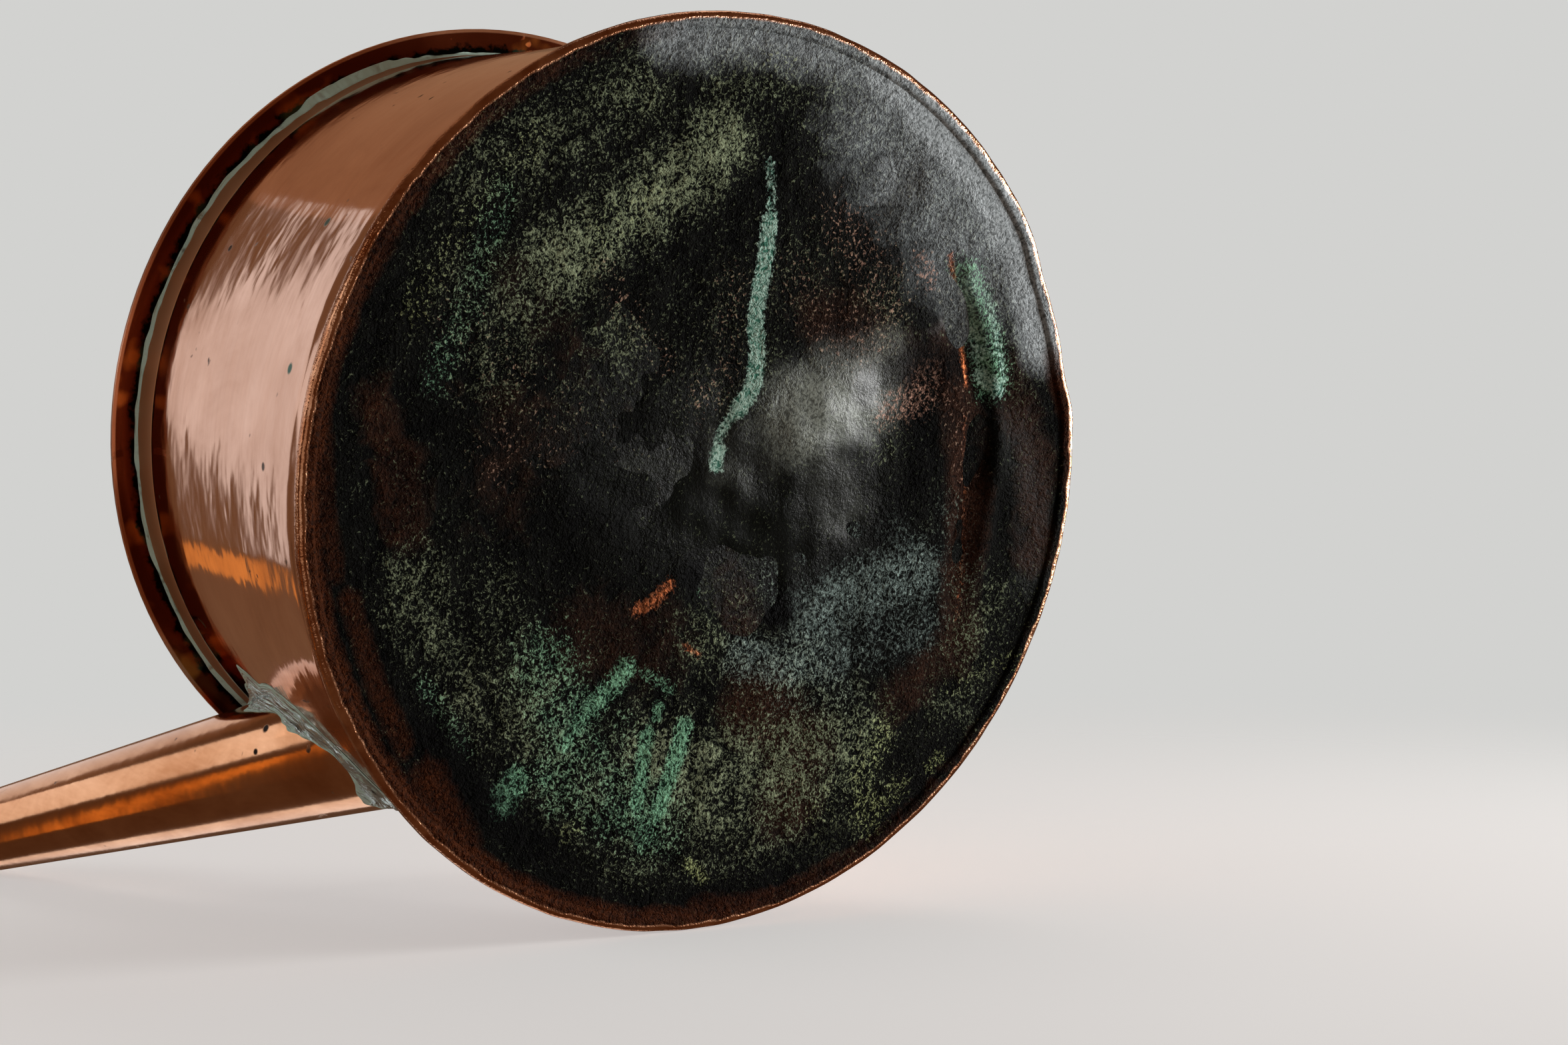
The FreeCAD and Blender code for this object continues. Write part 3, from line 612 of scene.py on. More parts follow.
# %% [markdown]
# The bead touches whatever the kettle stands on, so it is rubbed bright. Just inside it the sheet is
# bare brown copper, most of all towards the spout. Both follow the ring, so they are painted by
# radius and bearing in place of strokes.

# %% Rim of the base
radius = np.hypot(flat_places[:, 0], flat_places[:, 1])
paint(burnt_base, "bead", smooth_step(SEAM_RADIUS - 2.0, SEAM_RADIUS - 0.8, radius))
turn_from_spout = np.arctan2(flat_places[:, 1], flat_places[:, 0]) + math.radians(160)
rubbed = np.clip(0.4 + 0.5 * np.cos(turn_from_spout), 0, 1)
paint(burnt_base, "rubbed", rubbed * smooth_step(BASE_EDGE - 4, BASE_EDGE, radius))

# %% [markdown]
# The fire left a crust on the base: black soot with short ash-grey fibres in it, about a millimetre
# long, with verdigris, salts and oxide where water dried. The finish starts from the soot and lays
# each deposit over it. A deposit shows where its brush amount and the fibre noise add up to enough,
# so its edge is as ragged as the crust. Only the scrapes, the band and the bead are bare metal.
# Some of the soot is painted shade, in the pit and in the groove beside the bulge.
# The pale films on the far rim and on the bulge are partly a painted sheen.

# %% Finish of the burnt base
FIBRE = 1.5 * MM
GRAIN = 0.9 * MM
PATCH = 7 * MM
CLOUD = 20 * MM
CRUST_RELIEF = 0.9 * MM
# The middle run of a noise, where nearly all its values lie
NOISE_SPREAD = (0.3, 0.7)

burnt_finish = new_finish("burnt_copper_with_soot_and_verdigris")
crust_place = add_node(burnt_finish, "TexCoord").outputs["Object"]
over = partial(laid_over, burnt_finish)
sums = partial(maths, burnt_finish)
fading = partial(ramp, burnt_finish)


def crust_noise(size, detail, distortion):
    """A noise of this size on the base, stretched to fill nought to one."""
    return fading(add_noise(burnt_finish, crust_place, size, detail, 0.6, distortion), *NOISE_SPREAD)


def brush_amount(brush):
    """The painted amount of a brush."""
    return add_node(burnt_finish, "Attribute", attribute_name=brush).outputs["Fac"]


def ragged(amount, noise, soft):
    """Cover with a noisy edge: none where the amount is nought, full where it is one."""
    return fading(sums("MULTIPLY_ADD", amount, 1 + 2 * soft, noise), 1, 1 + 2 * soft)


grains = crust_noise(GRAIN, 2.0, 0.6)
patches = crust_noise(PATCH, 4.0, 0.8)
clouds = crust_noise(CLOUD, 3.0, 0.5)
# A fibre is where a noise crosses its middle, so the fibres wind and are all about as thin
winding = sums("ABSOLUTE", sums("SUBTRACT", crust_noise(FIBRE, 2.0, 0.9), 0.5), 0.0)
fibres = fading(winding, 0.36, 0.0)
crumbs = sums("MULTIPLY_ADD", grains, 0.55, sums("MULTIPLY", fibres, 0.45))

soot = over("#020202", "#131410", sums("MULTIPLY", patches, 0.7))
soot = over(soot, "#10120f", ragged(brush_amount("smooth"), clouds, 1.6))
rusty = over("#0a0503", "#4c2c1c", crumbs)
colour = over(soot, rusty, ragged(brush_amount("oxide"), patches, 0.9))
# Thin ash is dim and teal, and only its highest grains are pale
patchy_ash = sums("MULTIPLY", brush_amount("ash"), sums("MULTIPLY_ADD", patches, 0.5, 0.22))
ash_height = sums("ADD", crumbs, sums("MULTIPLY_ADD", clouds, 0.12, patchy_ash))
ash_tone = over("#141b14", "#b6c59e", fading(ash_height, 0.82, 1.6))
colour = over(colour, ash_tone, fading(ash_height, 0.8, 1.05))
# Each deposit is its brush, its dark and light tone, its strength, its softness and its noise
DEPOSITS = [
    ("scale", "#151d1b", "#9fb6b0", 0.54, 0.5, crumbs),
    # The pale tones of the two films below are partly a painted sheen.
    ("bulge_film_and_sheen", "#4c514a", "#8f978d", 0.9, 1.2, clouds),
    ("rim_film_and_sheen", "#5d6567", "#b4bfc3", 0.95, 1.6, patches),
    ("salts", "#2a3f20", "#b9c68a", 0.62, 0.25, crumbs),
    ("verdigris", "#143826", "#93cfa8", 0.84, 0.3, crumbs),
    ("water_run", "#3c7562", "#bde0d0", 1.0, 0.3, grains),
    ("flecks", "#4a281c", "#c39a86", 0.8, 0.25, grains),
]
for brush, dark, light, strength, soft, noise in DEPOSITS:
    tone = over(dark, light, fading(crumbs, 0.25, 0.8))
    cover = ragged(sums("MULTIPLY", brush_amount(brush), strength), noise, soft)
    colour = over(colour, tone, cover)
# Soot, with painted shade in the pit and beside the bulge, laid on in near black
soot_and_shade_cover = ragged(sums("MULTIPLY", brush_amount("soot"), 0.9), patches, 1.0)
colour = over(colour, "#030303", soot_and_shade_cover)
glow = ragged(sums("MULTIPLY", brush_amount("bare_band"), 0.75), patches, 1.4)
rubbed_cover = ragged(brush_amount("rubbed"), patches, 0.8)
band_cover = sums("MAXIMUM", glow, rubbed_cover)
band_tone = over("#0d0502", "#55290f", crumbs)
colour = over(colour, band_tone, band_cover)
scrape_cover = ragged(brush_amount("scrapes"), grains, 0.5)
colour = over(colour, "#9a5530", scrape_cover)
bead_cover = ragged(brush_amount("bead"), patches, 0.5)
bead_tone = over("#a8663f", "#e3ab86", patches)
colour = over(colour, bead_tone, bead_cover)
bare = sums("MAXIMUM", sums("MAXIMUM", scrape_cover, bead_cover), sums("MULTIPLY", rubbed_cover, 0.3))
film_and_sheen_share = sums("MAXIMUM", brush_amount("rim_film_and_sheen"), brush_amount("bulge_film_and_sheen"))
even = sums("MAXIMUM", sums("MAXIMUM", film_and_sheen_share, brush_amount("smooth")), bare)
roughness = sums("MULTIPLY_ADD", bead_cover, -0.22, fading(even, 0, 1, 0.8, 0.38))
shine = fading(film_and_sheen_share, 0, 1, 0.04, 0.3)
relief = sums("MULTIPLY_ADD", crumbs, 0.6, patches)
depth = fading(even, 0, 1, 1.0, 0.15)
relief = {"Height": relief, "Strength": depth, "Distance": CRUST_RELIEF}
look = {
    "Base Color": colour,
    "Metallic": bare,
    "Roughness": roughness,
    "Specular IOR Level": shine,
    "Normal": add_node(burnt_finish, "Bump", relief),
}
surfaced(burnt_finish, look)
dress(burnt_base, burnt_finish)
bpy.ops.object.shade_smooth_by_angle(angle=math.radians(40))
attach(burnt_base, "kettle")
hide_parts("base_pan")
print("burnt base dressed")

# %% [markdown]
# The drum is one sheet, flared over the foot flange, hollow up its side and creased below the
# shoulder. Hand polishing left it faintly wavy, which is what breaks up its reflections, so the
# worn copy has fine rings that are moved in and out by about a tenth of a millimetre.

# %% The worn drum
FOOT_RADIUS = SEAM_RADIUS - FOOT_INSET
FLARE_HEIGHT = 14.0
DRUM_TAPER = 7.9
WAIST_RADIUS = FOOT_RADIUS - DRUM_TAPER
DRUM_HEIGHT = 116.0
COVE_HEIGHT = 9.0
CREASE_HEIGHT = DRUM_HEIGHT - COVE_HEIGHT
DRUM_SLOPE = DRUM_TAPER / (CREASE_HEIGHT - FLARE_HEIGHT)
DRUM_CURVE = 1200.0
FLARE_CURVE = 68.0
COVE_CURVE = 20.0
LAP_EDGE = SEAM_RADIUS - SEAM_LAP - 0.1

drum_section = [(SEAM_RADIUS - SHEET - 0.1, 2 * SHEET), (LAP_EDGE, 2 * SHEET)]
drum_section += arc((LAP_EDGE, 2 * SHEET), (FOOT_RADIUS, FLARE_HEIGHT), FLARE_CURVE, 12)
drum_section += arc((FOOT_RADIUS, FLARE_HEIGHT), (WAIST_RADIUS, CREASE_HEIGHT), DRUM_CURVE, 70)
drum_section += arc((WAIST_RADIUS, CREASE_HEIGHT), (WAIST_RADIUS, DRUM_HEIGHT), COVE_CURVE, 9)
drum_section += [(WAIST_RADIUS - SHEET, DRUM_HEIGHT)]
drum_section += arc(
    (WAIST_RADIUS - SHEET, DRUM_HEIGHT), (WAIST_RADIUS - SHEET, CREASE_HEIGHT), -COVE_CURVE - SHEET, 4
)
drum_section += arc(
    (WAIST_RADIUS - SHEET, CREASE_HEIGHT), (FOOT_RADIUS - SHEET, FLARE_HEIGHT), -DRUM_CURVE, 12
)
drum_section += arc((FOOT_RADIUS - SHEET, FLARE_HEIGHT), (LAP_EDGE - SHEET, 2 * SHEET), -FLARE_CURVE, 4)
drum_section += [(LAP_EDGE - SHEET + 0.5, SHEET), (SEAM_RADIUS - SHEET - 0.1, SHEET), drum_section[0]]
worn_drum = spun("worn_drum", drum_section, 384)


def knock_drum(points):
    """The drum's points with its faint waves and the struck rim."""
    radius = np.hypot(points[:, 0], points[:, 1])
    free = smooth_step(3, 20, points[:, 2]) * smooth_step(115, 104, points[:, 2])
    out = free * (0.035 * waves(points, 60, 11) + 0.008 * waves(points, 21, 12))
    out -= rim_flat(points) * smooth_step(24, 2, points[:, 2])
    moved = points.copy()
    moved[:, :2] *= (1 + out / radius)[:, None]
    return moved


set_points(worn_drum, knock_drum(points_of(worn_drum)))
print("worn drum:", len(worn_drum.data.vertices), "vertices")

# %% [markdown]
# The maker cut a hole in the drum's wall as wide as the spout's bore, so that water runs into the
# tube. A tapered cutter, laid along the spout's own axis, cuts it with a boolean.

# %% The hole for the spout in the drum
SPOUT_TILT = math.radians(63.6)
SPOUT_ROOT = 16.6
SPOUT_TIP = 10.4
SPOUT_LENGTH = 142.0
SPOUT_Z = DRUM_HEIGHT - 44.0
SPOUT_SEAT = FOOT_RADIUS - DRUM_SLOPE * (SPOUT_Z - FLARE_HEIGHT)
BORE_LENGTH = 80.0
spout_way = Vector((-math.cos(SPOUT_TILT), 0, math.sin(SPOUT_TILT)))
spout_foot = Vector((-SPOUT_SEAT, 0, SPOUT_Z))
taper = (SPOUT_ROOT - SPOUT_TIP) / SPOUT_LENGTH
bpy.ops.object.select_all(action="DESELECT")
bpy.ops.mesh.primitive_cone_add(
    vertices=64,
    radius1=(SPOUT_ROOT - SHEET + BORE_LENGTH / 2 * taper) * MM,
    radius2=(SPOUT_ROOT - SHEET - BORE_LENGTH / 2 * taper) * MM,
    depth=BORE_LENGTH * MM,
    location=spout_foot * MM,
    rotation=(0, SPOUT_TILT - math.pi / 2, 0),
)
bore = bpy.context.object
pierce = worn_drum.modifiers.new("spout_hole", "BOOLEAN")
pierce.operation = "DIFFERENCE"
pierce.object = bore
pierce.solver = "EXACT"
bpy.context.view_layer.objects.active = worn_drum
bpy.ops.object.modifier_apply(modifier="spout_hole")
bpy.data.objects.remove(bore)
bpy.ops.object.select_all(action="DESELECT")
worn_drum.select_set(True)
bpy.ops.object.shade_smooth_by_angle(angle=math.radians(30))
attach(worn_drum, "kettle")
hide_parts("body_wall")
print("drum pierced:", len(worn_drum.data.polygons), "faces")

# %% [markdown]
# Sheet copper that is polished now and then keeps a thin brown skin. Fine scratches run round the
# drum, because it was rubbed round; they are far longer than they are high, so the noise for them is
# stretched about twenty times. Slow clouds change the tone from pink copper to brown, and small dark
# spots mark drops that dried. The larger stains stand where the photograph shows them.

# %% Finish of the sheet copper
SCRATCH_HEIGHT = 1.6 * MM
SCRATCH_LENGTH = 34 * MM
PATINA_CLOUD = 28 * MM
DRIED_SPOT = 5 * MM
BEATEN_DENT = 9 * MM
ROUND_THE_DRUM = (SCRATCH_HEIGHT / SCRATCH_LENGTH, SCRATCH_HEIGHT / SCRATCH_LENGTH, 1)
ALONG_THE_SPOUT = (1, 1, 0.1)
EVERY_WAY = (1, 1, 1)
# Each stain is its middle, its radius and its tone
DRUM_STAINS = [
    ((-48.9, -92.6, 23.2), 1.3, "#3f6a5c"),
    ((-14.5, -102.0, 38.8), 1.2, "#4a7566"),
    ((-22.1, -96.4, 88.7), 0.9, "#5b4a3c"),
    ((-67.5, -78.9, 30.9), 1.0, "#5b4a3c"),
]
SPOUT_STAINS = [
    ((-105.4, -15.9, 71.2), 1.1, "#1c120c"),
    ((-111.1, -13.5, 72.2), 0.8, "#1c120c"),
    ((-103.7, -4.1, 70.7), 0.9, "#1c120c"),
]


def sheet_copper(name, bright, brown, roughness, stretch, depth, waviness=0.08, stains=()):
    """Worn polished copper, with its surface node: two tones in clouds, scratches, spots and stains."""
    finish = new_finish(name)
    place = add_node(finish, "TexCoord").outputs["Object"]
    drawn = add_node(finish, "Mapping", {"Vector": place, "Scale": stretch})
    scratches = add_noise(finish, drawn, SCRATCH_HEIGHT, 3.0, 0.6)
    cloudy = ramp(finish, add_noise(finish, place, PATINA_CLOUD, 5.0, 0.6, 0.6), 0.3, 0.9)
    streaky = maths(finish, "MULTIPLY_ADD", scratches, 0.35, cloudy, use_clamp=True)
    colour = laid_over(finish, bright, brown, streaky)
    spot = ramp(finish, add_noise(finish, place, DRIED_SPOT, 2.0), 0.72, 0.78)
    colour = laid_over(finish, colour, "#5b4a3c", spot)
    for middle, radius, tone in stains:
        ends = {0: place, 1: [part * MM for part in middle]}
        gap = add_node(finish, "VectorMath", ends, operation="DISTANCE").outputs["Value"]
        cover = ramp(finish, gap, 1.2 * radius * MM, 0.7 * radius * MM)
        colour = laid_over(finish, colour, tone, cover)
        spot = maths(finish, "MAXIMUM", spot, cover)
    rough = ramp(finish, streaky, 0.0, 1.0, roughness - 0.05, roughness + 0.07)
    rough = maths(finish, "MULTIPLY_ADD", spot, 0.3, rough)
    drawn = add_node(finish, "Mapping", {"Vector": place, "Scale": (0.6, 0.6, 1)})
    beaten = add_noise(finish, drawn, BEATEN_DENT, 2.0)
    relief = {"Height": beaten, "Strength": 1.0, "Distance": waviness * MM}
    uneven = add_node(finish, "Bump", relief)
    relief = {"Height": scratches, "Strength": 1.0, "Distance": depth * MM, "Normal": uneven}
    bump = add_node(finish, "Bump", relief)
    look = {"Base Color": colour, "Metallic": 1.0, "Roughness": rough, "Normal": bump}
    return finish, surfaced(finish, look)


drum_finish, drum_surface = sheet_copper(
    "polished_sheet_copper", "#ecc0a8", "#c48f70", 0.075, ROUND_THE_DRUM, 0.008, 0.14, DRUM_STAINS
)
dress(worn_drum, drum_finish)
spout_finish, _ = sheet_copper(
    "polished_spout_copper", "#ecb892", "#b4774c", 0.12, ALONG_THE_SPOUT, 0.012, stains=SPOUT_STAINS
)
dress(nodes["spout"], spout_finish)
rod_finish, _ = sheet_copper("rubbed_rod_copper", "#dfa584", "#9a5f40", 0.24, EVERY_WAY, 0.02)
for name in ("lid_knob", "ear_rivets", "bail_handle"):
    dress(nodes[name], rod_finish)
print("copper dressed")

# %% [markdown]
# The polishing cloth didn't reach the cove over the crease, so the cove kept a dull brown skin that
# is only partly metal to the eye. The crease just below it stands proud, and the thin bright orange
# line beside it is a painted highlight. Height on the drum tells the two apart.

# %% The dull cove of the drum
place = add_node(drum_finish, "TexCoord").outputs["Object"]
height = add_node(drum_finish, "SeparateXYZ", {0: place}).outputs["Z"]
cove = ramp(drum_finish, height, (CREASE_HEIGHT + 0.2) * MM, (CREASE_HEIGHT + 0.7) * MM)
off_crease = ramp(drum_finish, height, (CREASE_HEIGHT + 0.4) * MM, (CREASE_HEIGHT + 1.6) * MM)
# Bright orange by the crease is a painted highlight; the brown above it is the dull skin.
cove_tone_and_crease_highlight = laid_over(drum_finish, "#f0a468", "#b88058", off_crease)
colour, rough = (drum_surface.inputs[part].links[0].from_socket for part in ("Base Color", "Roughness"))
look = {
    "Base Color": laid_over(drum_finish, colour, cove_tone_and_crease_highlight, cove),
    "Roughness": ramp(drum_finish, cove, 0.0, 1.0, rough, 0.5),
    "Metallic": ramp(drum_finish, cove, 0.0, 1.0, 1.0, 0.35),
}
feed(drum_finish, drum_surface, look)
print("cove dulled above", CREASE_HEIGHT, "mm")

# %% [markdown]
# Tin solder is wiped on with a cloth while it is soft, so it is lumpy and uneven. Round the spout it
# fills the corner between tube and drum, and on one side it was dragged up the tube. A torus has the
# right topology for such a bead, so it is the start: its rings are laid along the line where the
# spout meets the drum, each ring stretched a little way over the drum and up the tube.

# %% The solder round the spout
ROOT_RINGS = 256
ROOT_SIDES = 24


def drum_radius(height):
    """Outside radius of the drum at a height, from its hollow side's arc."""
    share = (np.asarray(height) - FLARE_HEIGHT) / (CREASE_HEIGHT - FLARE_HEIGHT)
    hollow = (CREASE_HEIGHT - FLARE_HEIGHT) ** 2 / (8 * DRUM_CURVE)
    return FOOT_RADIUS - DRUM_TAPER * share - 4 * hollow * share * (1 - share)


way = np.array(spout_way)
across_up = np.array(CAMERA_UP) - way * (np.array(CAMERA_UP) @ way)
across_up /= np.linalg.norm(across_up)
across_side = np.cross(way, across_up)
angles = np.linspace(0, 2 * math.pi, ROOT_RINGS, endpoint=False)
outward = np.cos(angles)[:, None] * across_up + np.sin(angles)[:, None] * across_side
run = np.zeros(ROOT_RINGS)
for _ in range(60):
    place = np.array(spout_foot) + run[:, None] * way + (SPOUT_ROOT - taper * run)[:, None] * outward
    gap = drum_radius(place[:, 2]) - np.hypot(place[:, 0], place[:, 1])
    run = run + gap / (math.cos(SPOUT_TILT) + 0.35)
root_line = np.array(spout_foot) + run[:, None] * way + (SPOUT_ROOT - taper * run)[:, None] * outward
print("root line from", root_line[:, 2].min().round(1), "to", root_line[:, 2].max().round(1), "mm")
print("largest gap to the drum:", np.abs(gap).max().round(3), "mm")


def unit(rows):
    """Each row at length one."""
    return rows / np.linalg.norm(rows, axis=1)[:, None]


along_root = unit(np.roll(root_line, -1, 0) - np.roll(root_line, 1, 0))
drum_normal = unit(root_line * [1, 1, 0] + np.array([0, 0, 1]) * DRUM_SLOPE * 100)
over_drum = unit(np.cross(along_root, drum_normal))
over_drum *= np.sign(np.sum(over_drum * outward, axis=1))[:, None]
tube_normal = unit(outward + taper * way)
up_tube = unit(way - taper * outward)


def near_bearing(degrees, reach):
    """One at this bearing round the spout, fading to nought at about twice the reach."""
    away = (np.degrees(angles) - degrees + 180) % 360 - 180
    return np.exp(-((away / reach) ** 2))


drum_reach = 3.2 + 5.2 * near_bearing(322, 42) + 4.0 * near_bearing(342, 6)
tube_reach = 4.2 + 4.6 * near_bearing(318, 36) + 3.2 * near_bearing(198, 20)
drum_reach *= 1 + 0.16 * waves(root_line, 15, 21) + 0.04 * waves(root_line, 5, 22)
tube_reach *= 1 + 0.2 * waves(root_line, 12, 23) + 0.06 * waves(root_line, 5, 24)
drum_edge = root_line + drum_reach[:, None] * over_drum
drum_edge[:, :2] *= (drum_radius(drum_edge[:, 2]) / np.hypot(drum_edge[:, 0], drum_edge[:, 1]))[:, None]
tube_edge = root_line + tube_reach[:, None] * up_tube
out_of_corner = unit(drum_normal + tube_normal)

bpy.ops.object.select_all(action="DESELECT")
bpy.ops.mesh.primitive_torus_add(
    major_segments=ROOT_RINGS, minor_segments=ROOT_SIDES, major_radius=20 * MM, minor_radius=3 * MM
)
wiped_solder = bpy.context.object
wiped_solder.name = "wiped_solder"
turn = np.linspace(0, 1, ROOT_SIDES, endpoint=False)
face = np.clip(turn / 0.75, 0, 1)[None, :, None]
inner = smooth_step(0.75, 0.8, turn)[None, :, None]
middle = root_line + (0.9 + 0.9 * near_bearing(318, 40))[:, None] * out_of_corner
skin = (1 - face) ** 2 * drum_edge[:, None] + 2 * face * (1 - face) * middle[:, None]
skin = skin + face**2 * tube_edge[:, None]
skin += 0.1 * out_of_corner[:, None]
buried = (root_line - 0.5 * out_of_corner)[:, None]
rings = skin * (1 - inner) + buried * inner
ring_place = np.stack([22 * np.cos(angles), 22 * np.sin(angles)], axis=1)[:, None, :]
across = 2.6 * face * (drum_reach + tube_reach)[:, None, None]
flow_places = np.concatenate([np.broadcast_to(ring_place, rings.shape[:2] + (2,)), across], axis=2)
lumps = 0.4 * waves(flow_places.reshape(-1, 3), 11, 25) + 0.1 * waves(rings.reshape(-1, 3), 5, 26)
free = np.sin(face * math.pi) * (1 - inner) * np.ones((ROOT_RINGS, 1, 1))
rings = rings + out_of_corner[:, None] * free * lumps.reshape(ROOT_RINGS, ROOT_SIDES, 1)
solder_points = rings.reshape(-1, 3)
set_points(wiped_solder, solder_points)
bpy.ops.object.mode_set(mode="EDIT")
bpy.ops.mesh.select_all(action="SELECT")
bpy.ops.mesh.normals_make_consistent(inside=False)
bpy.ops.object.mode_set(mode="OBJECT")
bpy.ops.object.shade_smooth_by_angle(angle=math.radians(60))
paint(wiped_solder, "round_x", np.repeat(np.cos(angles), ROOT_SIDES))
paint(wiped_solder, "round_y", np.repeat(np.sin(angles), ROOT_SIDES))
paint(wiped_solder, "across", (across / 2.6).ravel())
paint(wiped_solder, "edge", np.tile((np.abs(face * 2 - 1) ** 3).ravel(), ROOT_RINGS))
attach(wiped_solder, "kettle")
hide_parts("spout_solder")
print("wiped solder:", len(wiped_solder.data.vertices), "vertices")

# %% [markdown]
# The shoulder is soldered on from below, which leaves a thin line of tin in the corner of drum and
# overhang. It runs all round, so it is a turned ring, thinned and thickened by soft waves, with the
# one thick heap that the photograph shows.

# %% The solder line under the shoulder
corner_section = [(WAIST_RADIUS - 0.3, DRUM_HEIGHT + 0.3), (WAIST_RADIUS - 0.3, DRUM_HEIGHT - 1.5)]
corner_section += [(WAIST_RADIUS, DRUM_HEIGHT - 1.5), (WAIST_RADIUS + 0.35, DRUM_HEIGHT - 1)]
corner_section += [(WAIST_RADIUS + 0.7, DRUM_HEIGHT - 0.6), (WAIST_RADIUS + 1.1, DRUM_HEIGHT - 0.3)]
corner_section += [(WAIST_RADIUS + 1.6, DRUM_HEIGHT), (WAIST_RADIUS + 1.6, DRUM_HEIGHT + 0.3)]
corner_solder = spun("corner_solder", corner_section + corner_section[:1], 512)
places = points_of(corner_solder)
radii = np.hypot(places[:, 0], places[:, 1])
circle = np.stack([places[:, 0] / radii, places[:, 1] / radii, 0 * radii], axis=1)
bearing = np.arctan2(circle[:, 1], circle[:, 0])
heap = 0.4 + 0.75 * np.exp(-(((bearing - math.radians(-68)) / 0.25) ** 2))
out_share = heap * (1 + 0.3 * waves(circle * 100, 23, 33) + 0.2 * waves(circle * 100, 7, 34))
down_share = heap * (1 + 0.3 * waves(circle * 100, 19, 31) + 0.2 * waves(circle * 100, 6, 32))
out = np.clip(radii - WAIST_RADIUS, 0, 2) * (np.clip(out_share, 0.25, 1.3) - 1)
down = np.clip(DRUM_HEIGHT - places[:, 2], 0, 2) * (np.clip(down_share, 0.25, 1.5) - 1)
set_points(corner_solder, places + circle * out[:, None] - np.outer(down, [0, 0, 1]))
bpy.ops.object.shade_smooth_by_angle(angle=math.radians(60))
paint(corner_solder, "round_x", 4 * circle[:, 0])
paint(corner_solder, "round_y", 4 * circle[:, 1])
paint(corner_solder, "across", radii - places[:, 2])
paint(corner_solder, "edge", np.full(len(places), 0.7))
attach(corner_solder, "kettle")
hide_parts("shoulder_solder")
print("corner solder:", len(corner_solder.data.vertices), "vertices")

# %% [markdown]
# Old tin solder is dull blue-grey. Copper salts stain it turquoise along its edges, and soot fills
# its hollows. It was wiped round the joint, so its ridges and streaks run along the bead: the noises
# are laid in the bead's own run, painted on each mesh as a place on a ring and a place across.

# %% Finish of the solder
SOLDER_RELIEF = 0.9 * MM


def tin_solder_finish(name, pale, green, dark, hollows):
    """Dull tin solder: pale ridges along the bead, green stains and dark hollows."""
    finish = new_finish(name)
    *run, edge = [
        add_node(finish, "Attribute", attribute_name=part).outputs["Fac"]
        for part in ("round_x", "round_y", "across", "edge")
    ]
    place = add_node(finish, "CombineXYZ", enumerate(run))
    noises = []
    for stretch in ((2.6, 2.6, 0.5), (7, 7, 1.1)):
        laid = add_node(finish, "Mapping", {"Vector": place, "Scale": stretch})
        noises.append(ramp(finish, add_noise(finish, laid, 1.0, 3.0, distortion=0.3), *NOISE_SPREAD))
    slow, fast = noises
    low = maths(finish, "MULTIPLY_ADD", fast, 0.5, slow)
    stained = ramp(finish, maths(finish, "MULTIPLY_ADD", edge, 0.9, fast), 0.6, 1.0)
    colour = laid_over(finish, pale, green, stained)
    hollow = ramp(finish, low, hollows, hollows - 0.25, interpolation_type="SMOOTHSTEP")
    look = {
        "Base Color": laid_over(finish, colour, dark, hollow),
        "Metallic": ramp(finish, stained, 0.0, 1.0, 0.7, 0.0),
        "Roughness": ramp(finish, stained, 0.0, 1.0, 0.24, 0.6),
        "Normal": add_node(finish, "Bump", {"Height": slow, "Strength": 1.0, "Distance": SOLDER_RELIEF}),
    }
    surfaced(finish, look)
    return finish


dress(wiped_solder, tin_solder_finish("wiped_tin_solder", "#c3d2d2", "#cdf0e4", "#252c24", 0.34))
dress(corner_solder, tin_solder_finish("stained_tin_solder", "#bcd2c9", "#d8fff2", "#28382c", 0.08))
print("solder dressed")

# %% [markdown]
# The shoulder is one sheet with four looks. Its dome and neck are worn polished copper. The
# underside of its overhang was never polished: heat left it dark red-brown, and the orange patches
# on it are painted reflections. Salts crept out of the solder as a black-green mottled line, and a
# painted highlight brightens the outer edge. Height and radius tell them apart. The lid and the ears
# are the same sheet, so they share the finish.

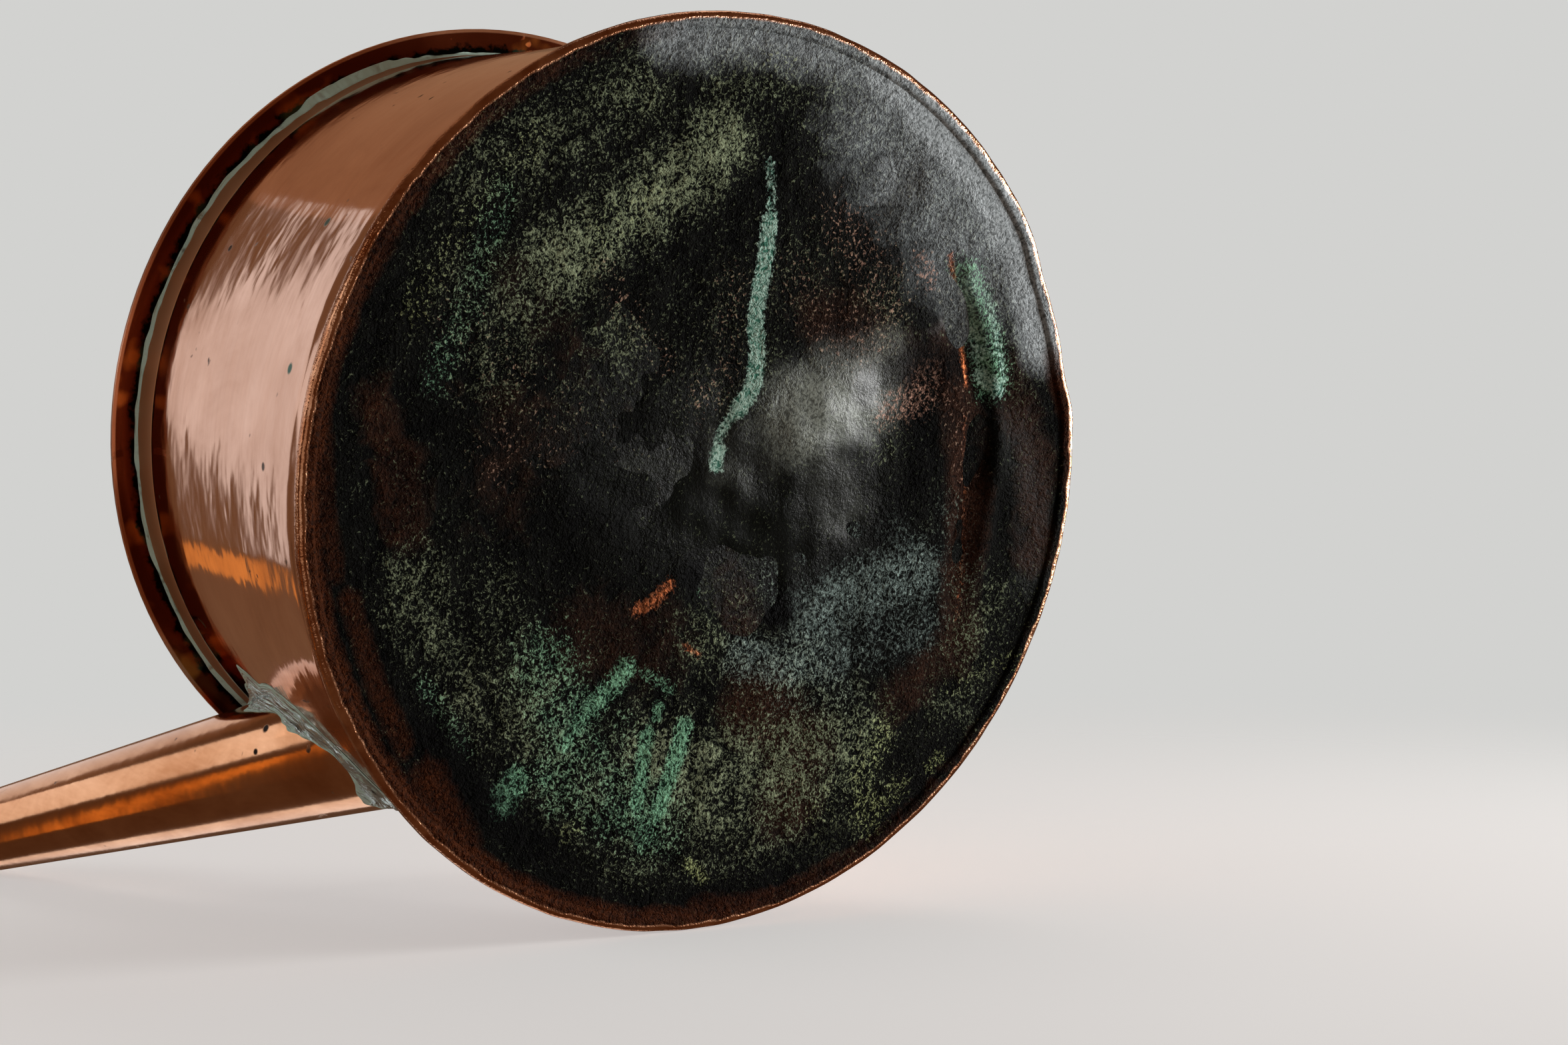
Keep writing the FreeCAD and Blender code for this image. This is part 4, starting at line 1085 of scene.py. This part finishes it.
# %% Finish of the shoulder
FLANGE_RADIUS = WAIST_RADIUS + 6.6
UNDERSIDE_PATCH = 11 * MM
SALT_MOTTLE = 4 * MM
SALT_REACH = 7.5 * MM

shoulder_finish, shoulder_surface = sheet_copper(
    "browned_shoulder_copper", "#dfa684", "#9a5a3a", 0.2, ROUND_THE_DRUM, 0.015
)
polished = shoulder_surface.inputs["Base Color"].links[0].from_socket
place = add_node(shoulder_finish, "TexCoord").outputs["Object"]
height = add_node(shoulder_finish, "SeparateXYZ", {0: place}).outputs["Z"]
under = ramp(shoulder_finish, height, (DRUM_HEIGHT + 0.35) * MM, (DRUM_HEIGHT + 0.1) * MM)
level = add_node(shoulder_finish, "VectorMath", {0: place, 1: (1, 1, 0)}, operation="MULTIPLY")
from_axis = add_node(shoulder_finish, "VectorMath", {0: level}, operation="LENGTH").outputs["Value"]
mottle = add_noise(shoulder_finish, place, SALT_MOTTLE, 4.0, 0.65)
patchy = ramp(shoulder_finish, add_noise(shoulder_finish, place, UNDERSIDE_PATCH, 2.0), 0.56, 0.66)
# The orange patches on the dark underside are painted reflections.
heat_tone_with_painted_reflections = laid_over(shoulder_finish, "#7a3a20", "#d07c3c", patchy)
creep = maths(shoulder_finish, "MULTIPLY_ADD", mottle, -SALT_REACH, from_axis)
salty = ramp(shoulder_finish, creep, (WAIST_RADIUS - 1.2) * MM, (WAIST_RADIUS - 2.4) * MM)
salt_tone = laid_over(shoulder_finish, "#0c110c", "#4d6a58", patchy)
under_tone = laid_over(shoulder_finish, heat_tone_with_painted_reflections, salt_tone, salty)
# A painted highlight in pale orange along the outer edge of the overhang
edge_highlight = ramp(shoulder_finish, from_axis, (FLANGE_RADIUS - 1.0) * MM, (FLANGE_RADIUS - 0.7) * MM)
under_tone_with_edge_highlight = laid_over(shoulder_finish, under_tone, "#f6b48c", edge_highlight)
feed(shoulder_finish, shoulder_surface, {"Base Color": laid_over(shoulder_finish, polished, under_tone_with_edge_highlight, under)})
for name in ("shoulder", "lid", "lid_collar", "front_ear", "rear_ear"):
    dress(nodes[name], shoulder_finish)
print("shoulder dressed")
